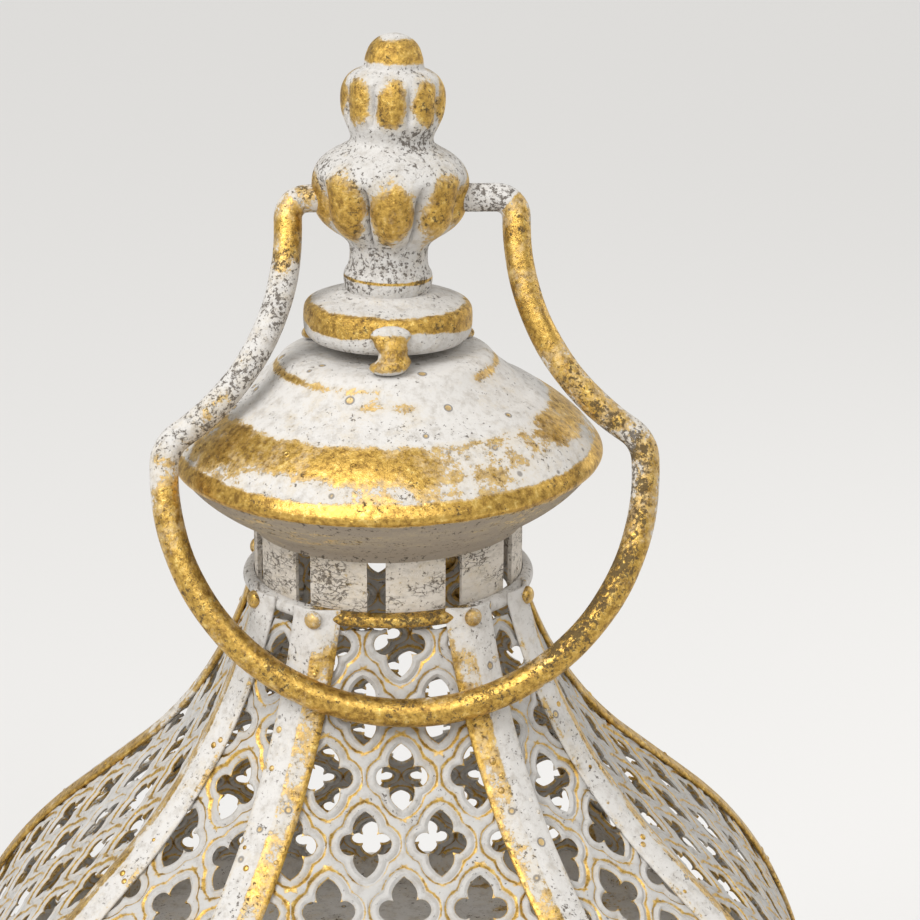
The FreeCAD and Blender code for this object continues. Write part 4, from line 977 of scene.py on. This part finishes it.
crown_line = with_wall(smooth_line(CROWN, 5), 0.8) + (0, ring_z / MM)
crown_mesh = lean(turned_piece("crown_top", crown_line, 192, None, gild_crown, closed=True),
                  -CROWN_TILT, ring_z + 27 * MM)
crown_mesh = lean(crown_mesh, CROWN_NOD, ring_z + 27 * MM, "X")
finish_piece("crown_top", crown_mesh, crown_finish, ["crown_top"], sharp=45)

UNDER = [(44.3, 26.6), (42.8, 24.2), (40.3, 21.4), (37.3, 18.9), (34.2, 16.8), (31.5, 15.2),
         (29.7, 14.1), (28.8, 13.2), (28.6, 12.2)]


def gild_under(theta, r, z):
    """Gold at the rim, and a trace where the hand holds the crown."""
    return 1.1 * smooth_step(43.0, 44.0, r) + 0.2 * bump_window(r, 36, 42, 2)


under_line = with_wall(smooth_line(UNDER, 5), 0.7) + (0, ring_z / MM)
under_mesh = lean(turned_piece("crown_under", under_line, 160, None, gild_under, closed=True),
                  -CROWN_TILT * 0.7, ring_z + 10 * MM)
# The underside wears the darker chalk, which is painted shade.
finish_piece("crown_under", under_mesh, under_painted_shade_finish, ["crown_under"], sharp=45)
print("crown %.1f mm across" % (2 * max(p[0] for p in CROWN)))

# %% [markdown]
# ### Collar ring
# A half-round wire hoop soldered round the neck, where the ribs' heads meet it. Its front
# has been handled, so the gold is left there and the dirt with it.

# %% collar ring
HOOP = [(28.6, -1.5), (29.6, -1.45), (30.5, -1.0), (30.85, 0.0), (30.5, 1.0), (29.6, 1.45),
        (28.6, 1.5)]
hoop_line = smooth_line(HOOP, 4) + (0, ring_z / MM)
hoop = turned_piece("collar_ring", hoop_line, 180, None,
                    lambda theta, r, z: -0.4 + 1.3 * smooth_step(0.75, 0.92, np.cos(theta)),
                    closed=True, soil=lambda theta, r, z: smooth_step(0.7, 0.9, np.cos(theta)))
finish_piece("collar_ring", hoop, collar_finish, ["collar_ring"], sharp=60)
print("collar ring %d faces" % len(hoop.polygons))

# %% [markdown]
# ### Bail
# A round rod bent cold: two stubs in the finial, a tight elbow, a sprung leg, a knee and
# a half circle. A tube is swept along the bent line; the rod's wall is slightly uneven,
# and the gold is left on its outer and lower sides.

# %% the bail's line
ROD_STOCK, ROD = 3.0, 2.88                # mm: the rod's nominal and worn radius
STUB_END, ELBOW_X, ELBOW_BEND = 7.5, 23.2, 4.0
LEG_X, LEG_TOP, LEG_END = 45.3, 6.0, 47.7     # mm: out and down to the sprung leg's ends
LOOP, LOOP_CENTRE = 48.6, 55.5            # mm: the half circle and how far down it sits
BAIL_LEAN = math.radians(21.1)            # how far forwards it hangs, resting on the ribs
BAIL_SIDES = 28
pivot_z = span("bail_handle", 2)[1] - ROD_STOCK * MM


def arc(centre, radius, start, end, steps):
    """Points on an arc between two angles in degrees."""
    a = np.radians(np.linspace(start, end, steps))
    return np.stack([centre[0] + radius * np.cos(a), centre[1] + radius * np.sin(a)], 1)


def bail_line():
    """Half the bail in its own plane: x out from the axis, s down from the pivot."""
    dx, dy = LEG_X - ELBOW_X, LEG_END - LEG_TOP
    spread = 2 * math.degrees(math.atan(dx / dy))
    leg = (dx * dx + dy * dy) / (2 * dx)
    knee = (LOOP - LEG_X) / (1 - math.cos(math.radians(spread)))
    knee_drop = knee * math.sin(math.radians(spread))
    half = np.vstack([
        [(STUB_END, 0.0), (2 * STUB_END, 0.0)],
        arc((ELBOW_X - ELBOW_BEND, ELBOW_BEND), ELBOW_BEND, -90, 0, 9),
        arc((ELBOW_X + leg, LEG_TOP), leg, 180, 180 - spread, 26),
        arc((LOOP - knee, LEG_END + knee_drop), knee, -spread, 0, 9),
        arc((0, LOOP_CENTRE), LOOP, 0, 90, 40)])
    keep = [half[0]]
    for p in half[1:]:
        if np.hypot(*(p - keep[-1])) > 0.4:
            keep.append(p)
    half = np.array(keep)
    return np.vstack([half, (half * (-1, 1))[::-1][1:]])


line = bail_line()
travel = np.r_[0, np.cumsum(np.hypot(*np.diff(line, axis=0).T))]
print("bail line %.0f mm long" % travel[-1])

# %% the bail's rod


def rod_wear(x, s, a):
    """Gold and dirt at a place on the rod: x across, s down, a round it."""
    chalky = bump_window(s, 14, 52, 9) * (x < 0)
    stub = (abs(x) < 22 and s < 4) * (1.0 if x > 0 else 0.3)
    mottled = 1.4 * (x > 0) * bump_window(s, 40, 98, 8)
    mottled *= smooth_step(-0.2, 0.8, -math.cos(a + 0.6))
    gold = 0.12 + 0.30 * math.sin(a) - 0.62 * chalky - 0.9 * stub
    gold += 0.25 * smooth_step(60, 95, s)
    return gold, 0.15 + mottled + 0.7 * chalky + 1.1 * stub


middle = sum(span("bail_handle", 0)) / 2 / MM
run = np.gradient(line, axis=0)
run /= np.hypot(*run.T)[:, None]
corners, gild_values, soil_values = [], [], []
for (x, s), (tx, ts), d in zip(line, run, travel):
    normal = np.array([ts, -tx])                    # in the bail's plane
    for k in range(BAIL_SIDES):
        a = 2 * math.pi * k / BAIL_SIDES
        r = ROD * (1 + 0.012 * math.sin(d / 7.0) + 0.01 * math.sin(d / 2.3 + 2 * a))
        px = x + normal[0] * r * math.cos(a)
        ps = s + normal[1] * r * math.cos(a)
        lift = r * math.sin(a)                      # towards the front of the bail's plane
        y = -ps * math.sin(BAIL_LEAN) - lift * math.cos(BAIL_LEAN)
        z = -ps * math.cos(BAIL_LEAN) + lift * math.sin(BAIL_LEAN)
        corners.append((px + middle, y, z))
        gold, dirt = rod_wear(x, s, a)
        gild_values.append(gold)
        soil_values.append(dirt)
faces = []
for first in range(0, BAIL_SIDES * (len(line) - 1), BAIL_SIDES):
    for k in range(BAIL_SIDES):
        m = (k + 1) % BAIL_SIDES
        faces.append((first + k, first + m, first + BAIL_SIDES + m, first + BAIL_SIDES + k))
faces.append(list(range(BAIL_SIDES)))
faces.append([BAIL_SIDES * (len(line) - 1) + k for k in range(BAIL_SIDES)])
corners = np.array(corners) * MM + (0, 0, pivot_z)
bail_mesh = outward(new_mesh("bail_handle", corners, faces, gild=gild_values,
                             soil=soil_values))
finish_piece("bail_handle", bail_mesh, bail_finish, ["bail_handle"], body="bail", sharp=60)
print("bail rod %d faces" % len(bail_mesh.polygons))

# %% [markdown]
# ### Roof ribs
# Each corner is closed by a folded strip. It follows the corner outline, one wing lying
# on the wide panel and one on the narrow one. Rounded edges catch the light and the
# gold; paint blisters with gold centres are scattered on the wings.

# %% the rib's strip
RIB_WING, RIB_WALL, RIB_LAP = 5.7, 0.9, 2.0    # mm: each wing, the strip, above the ring
LIFT = 1.1                                 # mm from the corner outline out to the rib's skin
fold = math.radians(CORNER)
narrow_turn = math.radians(45)             # from a wide panel's facing to a narrow one's
wide_way = np.array([0.0, -1.0])           # along the wide panel, away from the corner
narrow_way = np.array([-math.sin(narrow_turn), math.cos(narrow_turn)])


def rib_skin():
    """Corners of the strip's outer face in mm, its gold, and how many corners across."""
    path = roof_line(lap=RIB_LAP)
    fine = []
    for a, b in zip(path, path[1:]):
        n = max(1, int(np.hypot(*(b - a)) / 1.4))
        fine += [a + (b - a) * i / n for i in range(n)]
    path = np.array(fine + [path[-1]])
    step = np.gradient(path, axis=0)
    step /= np.hypot(*step.T)[:, None]
    across_strip = np.linspace(-1, 1, 17)
    corners, gild_values = [], []
    for i, (r, d) in enumerate(path):
        tr, td = step[i]
        out_r, out_z = td, tr                       # outward normal in the corner's plane
        for w in across_strip:
            soft = 0.45 * math.exp(-(w / 0.14) ** 2)
            edge_drop = 0.35 * smooth_step(0.86, 1.0, abs(w))
            reach = abs(w) * RIB_WING
            way = wide_way if w < 0 else narrow_way
            lift = LIFT - soft - edge_drop
            rr = r + out_r * lift
            x = rr * math.cos(fold) + way[0] * reach
            y = rr * math.sin(fold) + way[1] * reach
            corners.append((x, y, ring_z / MM - d + out_z * lift))
            worn = math.exp(-((abs(w) - 0.93) / 0.10) ** 2)
            top = bump_window(d, -4, 6, 3)
            gild_values.append(0.42 * worn + (0.28 if w < 0 else -0.28)
                               + 0.12 * math.sin(d / 9.0) - 0.5 * top)
    return np.array(corners), gild_values, len(across_strip)


def rib_mesh(name):
    """The skin made into a folded strip with softened edges."""
    corners, gild_values, n = rib_skin()
    faces = [(i + k, i + k + 1, i + n + k + 1, i + n + k)
             for i in range(0, len(corners) - n, n) for k in range(n - 1)]
    mesh = new_mesh(name, corners * MM, faces, gild=gild_values)
    work = bmesh.new()
    work.from_mesh(mesh)
    bmesh.ops.recalc_face_normals(work, faces=work.faces)
    if sum(f.normal.z * f.calc_area() for f in work.faces) < 0:
        bmesh.ops.reverse_faces(work, faces=work.faces)
    work.to_mesh(mesh)
    work.free()
    thing = new_object(name, mesh)
    wall = thing.modifiers.new("wall", "SOLIDIFY")
    wall.thickness, wall.offset = RIB_WALL * MM, -1
    soften = thing.modifiers.new("soften", "BEVEL")
    soften.width, soften.segments = 0.28 * MM, 2
    soften.limit_method, soften.angle_limit = "ANGLE", math.radians(50)
    return baked(thing)


rib_strip = rib_mesh("roof_rib")
print("rib strip %d faces" % len(rib_strip.polygons))

# %% [markdown]
# ### Rivets and blisters
# A round rivet holds each rib's head, and paint blisters lie along its wings. Both are
# small domes, so one tree sets them: an instance on each given point, turned to face
# outwards, sized, realised and painted.

# %% the dome tree


def dome_tree(name):
    tree = bpy.data.node_groups.new(name, "GeometryNodeTree")
    face = tree.interface
    face.new_socket("Geometry", in_out="OUTPUT", socket_type="NodeSocketGeometry")
    for label, kind in (("Spots", "NodeSocketObject"), ("Radius", "NodeSocketFloat"),
                        ("Height", "NodeSocketFloat"), ("Uneven", "NodeSocketFloat"),
                        ("Seed", "NodeSocketInt"), ("Finish", "NodeSocketMaterial")):
        face.new_socket(label, in_out="INPUT", socket_type=kind)
    given = tree.nodes.new("NodeGroupInput").outputs
    spots = add_node(tree, "GeometryNodeObjectInfo", None, Object=given["Spots"])
    dome = add_node(tree, "GeometryNodeMeshUVSphere", None, Segments=14, Rings=9)
    dome.inputs["Radius"].default_value = 1.0
    place = add_node(tree, "GeometryNodeInputNamedAttribute", {"data_type": "FLOAT_VECTOR"})
    place.inputs["Name"].default_value = "facing"
    turn = add_node(tree, "FunctionNodeAlignEulerToVector", {"axis": "Z"},
                    Vector=place.outputs["Attribute"])
    size = add_node(tree, "FunctionNodeRandomValue", {"data_type": "FLOAT"}, Seed=given["Seed"])
    size.inputs["Min"].default_value = 0.0
    size.inputs["Max"].default_value = 1.0
    grown = add_node(tree, MATH, TIMES_PLUS, i0=size.outputs[1], i1=given["Uneven"], i2=1.0)
    wide = add_node(tree, MATH, TIMES, i0=given["Radius"], i1=grown)
    tall = add_node(tree, MATH, TIMES, i0=given["Height"], i1=grown)
    scale = add_node(tree, "ShaderNodeCombineXYZ", None, X=wide, Y=wide, Z=tall)
    put = add_node(tree, "GeometryNodeInstanceOnPoints", None, Points=spots.outputs["Geometry"],
                   Instance=dome.outputs["Mesh"], Rotation=turn.outputs[0],
                   Scale=scale.outputs[0])
    real = add_node(tree, "GeometryNodeRealizeInstances", None, Geometry=put.outputs["Instances"])
    kept = add_node(tree, "GeometryNodeSetMaterial", None, Geometry=real.outputs["Geometry"],
                    Material=given["Finish"])
    tree.links.new(kept.outputs["Geometry"], tree.nodes.new("NodeGroupOutput").inputs[0])
    return tree


domes = dome_tree("set_domes")
print("dome tree has %d nodes" % len(domes.nodes))

# %% the eight roof ribs
RIVET_RADIUS, RIVET_HEIGHT = 1.9, 1.3      # mm
BLISTER_RADIUS, BLISTER_HEIGHT = 0.42, 0.22
BLISTERS = 16                              # on each rib


def domes_on(name, spots, ways, radius, height, finish, uneven=0.0, seed=1):
    """Domes in mm at the given points, each facing its own way."""
    cloud = new_mesh(name + "_spots", np.array(spots) * MM, [])
    layer = cloud.attributes.new("facing", "FLOAT_VECTOR", "POINT")
    layer.data.foreach_set("vector", np.array(ways, dtype=np.float32).reshape(-1))
    marks = new_object(name + "_spots", cloud)
    mesh = run_tree(name, domes, Spots=marks, Radius=radius * MM, Height=height * MM,
                    Uneven=uneven, Seed=seed, Finish=finish)
    bpy.data.objects.remove(marks)
    mesh.attributes.new("gild", "FLOAT", "POINT").data.foreach_set(
        "value", np.full(len(mesh.vertices), 0.4, dtype=np.float32))
    return mesh


def joined(name, meshes):
    """Several finished meshes as one."""
    things = [new_object(name, m) for m in meshes]
    work = bmesh.new()
    layer = work.verts.layers.float.new("gild")
    for thing in things:
        work.from_mesh(thing.data)
    mesh = bpy.data.meshes.new(name)
    work.to_mesh(mesh)
    work.free()
    for thing in things:
        bpy.data.objects.remove(thing)
    return mesh


def on_rib(d, w):
    """Point and outward way on the rib's skin, d mm deep and w of a wing across."""
    path = roof_line(lap=RIB_LAP)
    r = np.interp(d, path[:, 1], path[:, 0])
    ahead = np.interp(d + 0.5, path[:, 1], path[:, 0])
    t = np.array([ahead - r, 0.5])
    t /= np.hypot(*t)
    way = wide_way if w < 0 else narrow_way
    face_angle = 0.0 if w < 0 else narrow_turn
    lift = LIFT - 0.08                         # a dome's foot sinks a little into the skin
    rr = r + t[1] * lift
    spot = (rr * math.cos(fold) + way[0] * abs(w) * RIB_WING,
            rr * math.sin(fold) + way[1] * abs(w) * RIB_WING, ring_z / MM - d + t[0] * lift)
    return spot, (t[1] * math.cos(face_angle), t[1] * math.sin(face_angle), t[0])


RIBS = (("right_back", 0, False), ("back_left", 90, False), ("left_front", 180, False),
        ("front_right", 270, False), ("left_back", 0, True), ("front_left", 90, True),
        ("right_front", 180, True), ("back_right", 270, True))
rng = np.random.default_rng(7)
rivet_place = on_rib(0.2, -0.02)[0]
for label, degrees, mirrored in RIBS:
    blisters = [on_rib(rng.uniform(8, 118), rng.choice([-1, 1]) * rng.uniform(0.25, 0.8))
                for blister in range(BLISTERS)]
    small = domes_on("blisters", [b[0] for b in blisters], [b[1] for b in blisters],
                     BLISTER_RADIUS, BLISTER_HEIGHT, rib_finish, 0.8, 3)
    rivet = domes_on("rivet", [rivet_place], [(math.cos(fold), math.sin(fold), 0.1)],
                     RIVET_RADIUS, RIVET_HEIGHT, rib_finish)
    mesh = joined("roof_rib_" + label, [rib_strip.copy(), small, rivet])
    if mirrored:
        mesh.transform(Matrix.Diagonal((-1, 1, 1, 1)))
        mesh.flip_normals()
    finish_piece("roof_rib_" + label, turned_about_z(mesh, degrees), rib_finish,
                 ["roof_rib_" + label], sharp=50)
print("rib has %d faces" % len(mesh.polygons))

# %% [markdown]
# ## The body
# Below the roof the same pressed sheet is used flat, so the press tree runs again with a
# straight outline. Each bay's sheet sits between two folded corner angles. The front bay
# is the door, whose sheet moves with it.

# %% body panels
body_low, body_high = span("body_panel_right", 2)
face_x = span("body_panel_right", 0)[1] / MM


def flat_panel(name, apothem, half_width, low, high, columns):
    """A flat pierced sheet facing +X, between two heights in mm."""
    x = (apothem - SHEET) * MM
    guide = guide_curve(name + "_outline", [(x, (high + 30) * MM), (x, (low - 30) * MM)])
    mesh = run_tree(name, press, Cell=cell, Outline=guide, Columns=columns, Rows=9,
                    Pitch=PITCH * MM, Repeat=REPEAT * MM, Shift=0.0, Start=8 * MM,
                    Finish=pierced_finish)
    bpy.data.objects.remove(guide)
    trimmed(mesh, [(Vector((0, half_width * MM, 0)), Vector((0, 1, 0))),
                   (Vector((0, -half_width * MM, 0)), Vector((0, -1, 0))),
                   (Vector((0, 0, high * MM)), Vector((0, 0, 1))),
                   (Vector((0, 0, low * MM)), Vector((0, 0, -1)))])
    return thickened(mesh, SHEET)


wide_half = span("body_panel_right", 1)[1] / MM - 0.6
body_wide = flat_panel("body_sheet_wide", face_x, wide_half, body_low / MM + 0.2,
                       body_high / MM - 0.2, 8)
BODY_RADIUS = 104.0                       # mm to the body's corners
narrow_half = 25.9
narrow_face = BODY_RADIUS * math.cos(math.radians(45 - CORNER))
body_narrow = flat_panel("body_sheet_narrow", narrow_face, narrow_half, body_low / MM + 0.2,
                         body_high / MM - 0.2, 5)
hang_panels(body_wide, {k: v for k, v in WIDE_TURNS.items() if k != "front"},
            "body_panel_")
hang_panels(body_narrow, NARROW_TURNS, "body_panel_")
print("body sheets:", len(body_wide.polygons), "and", len(body_narrow.polygons), "faces")

# %% door sheet
door_low, door_high = span("door_panel", 2)
door_face, door_half = -span("door_panel", 1)[0] / MM, span("door_panel", 0)[1] / MM
door_sheet = flat_panel("door_sheet", door_face, door_half, door_low / MM, door_high / MM, 7)
finish_piece("door_sheet", turned_about_z(door_sheet, -90), [pierced_finish, inside_painted_shade_finish],
             ["door_panel"], body="door", sharp=50)
print("door sheet %d faces" % len(door_sheet.polygons))

# %% [markdown]
# ### Worn edges on the CAD's own metal
# The folded posts, bands, door frame and base are already the right shape in the frame.
# They keep it and get the worn finish. Their gold comes from the finish alone.

# %% finishes on the frame's own pieces
KEPT = {post_finish: [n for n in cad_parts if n.startswith("post_")] + ["door_frame"],
        neck_finish: ["neck_sleeve"],
        band_finish: ["eave_band", "base_plinth"] + [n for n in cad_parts
                                                     if n.startswith("foot_") and n != "foot_disc"],
        steel_finish: [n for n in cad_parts
                       if "knuckle" in n or "hinge_pin" in n or n in ("finial_stud", "finial_nut")],
        brass_finish: ["door_knob"], pan_finish: ["candle_pan"]}
for finish, names in KEPT.items():
    for node in names:
        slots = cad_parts[node].data.materials
        slots.clear()
        slots.append(finish)
print({finish.name: len(names) for finish, names in KEPT.items()})

# %% [markdown]
# ## Room and light
# A pale floor and a pale, even room stand in for a studio. The main light is broad and
# high on the left; a small one skims from the front to make the leaf sparkle.

# %% floor, world and lights
floor_mesh = new_mesh("floor", np.array([(-6, -6, 0), (6, -6, 0), (6, 6, 0), (-6, 6, 0)]),
                      [(0, 1, 2, 3)])
floor = new_object("floor", floor_mesh)
floor_paint = bpy.data.materials.new("matt_studio_board")
floor_paint.use_nodes = True
board = floor_paint.node_tree.nodes["Principled BSDF"]
board.inputs["Base Color"].default_value = srgb("#E2E1E0")
board.inputs["Roughness"].default_value = 0.95
floor_mesh.materials.append(floor_paint)
world = bpy.data.worlds.new("room")
world.use_nodes = True
bpy.context.scene.world = world
sky = world.node_tree.nodes["Background"]
sky.inputs["Color"].default_value = srgb("#F0EFEC")
sky.inputs["Strength"].default_value = 0.64
bpy.context.scene.view_settings.view_transform = "Standard"


def lamp(name, kind, spot, target, watts, size):
    """A light of one kind, aimed at a point; size is its width or its angle."""
    light = bpy.data.lights.new(name, kind)
    light.energy = watts
    setattr(light, "angle" if kind == "SUN" else "size", size)
    thing = bpy.data.objects.new(name, light)
    bpy.context.scene.collection.objects.link(thing)
    thing.location = spot
    thing.rotation_mode = "QUATERNION"
    thing.rotation_quaternion = (Vector(target) - Vector(spot)).to_track_quat("-Z", "Y")
    return thing


centre = (0, 0, 0.33)
lamp("window", "SUN", (-0.9, -1.1, 2.4), centre, 1.5, math.radians(40))
lamp("key", "AREA", (-0.7, -0.8, 1.1), centre, 6.0, 0.45)
lamp("sparkle", "AREA", (0.25, -0.9, 1.05), centre, 2.2, 0.12)
lamp("fill", "AREA", (1.0, 0.5, 0.8), centre, 2.5, 0.6)
print(len(bpy.data.lights), "lamps")
for helper in ("pattern_cell", "roof_outline_wide", "roof_outline_narrow"):
    bpy.data.objects.remove(bpy.data.objects[helper])
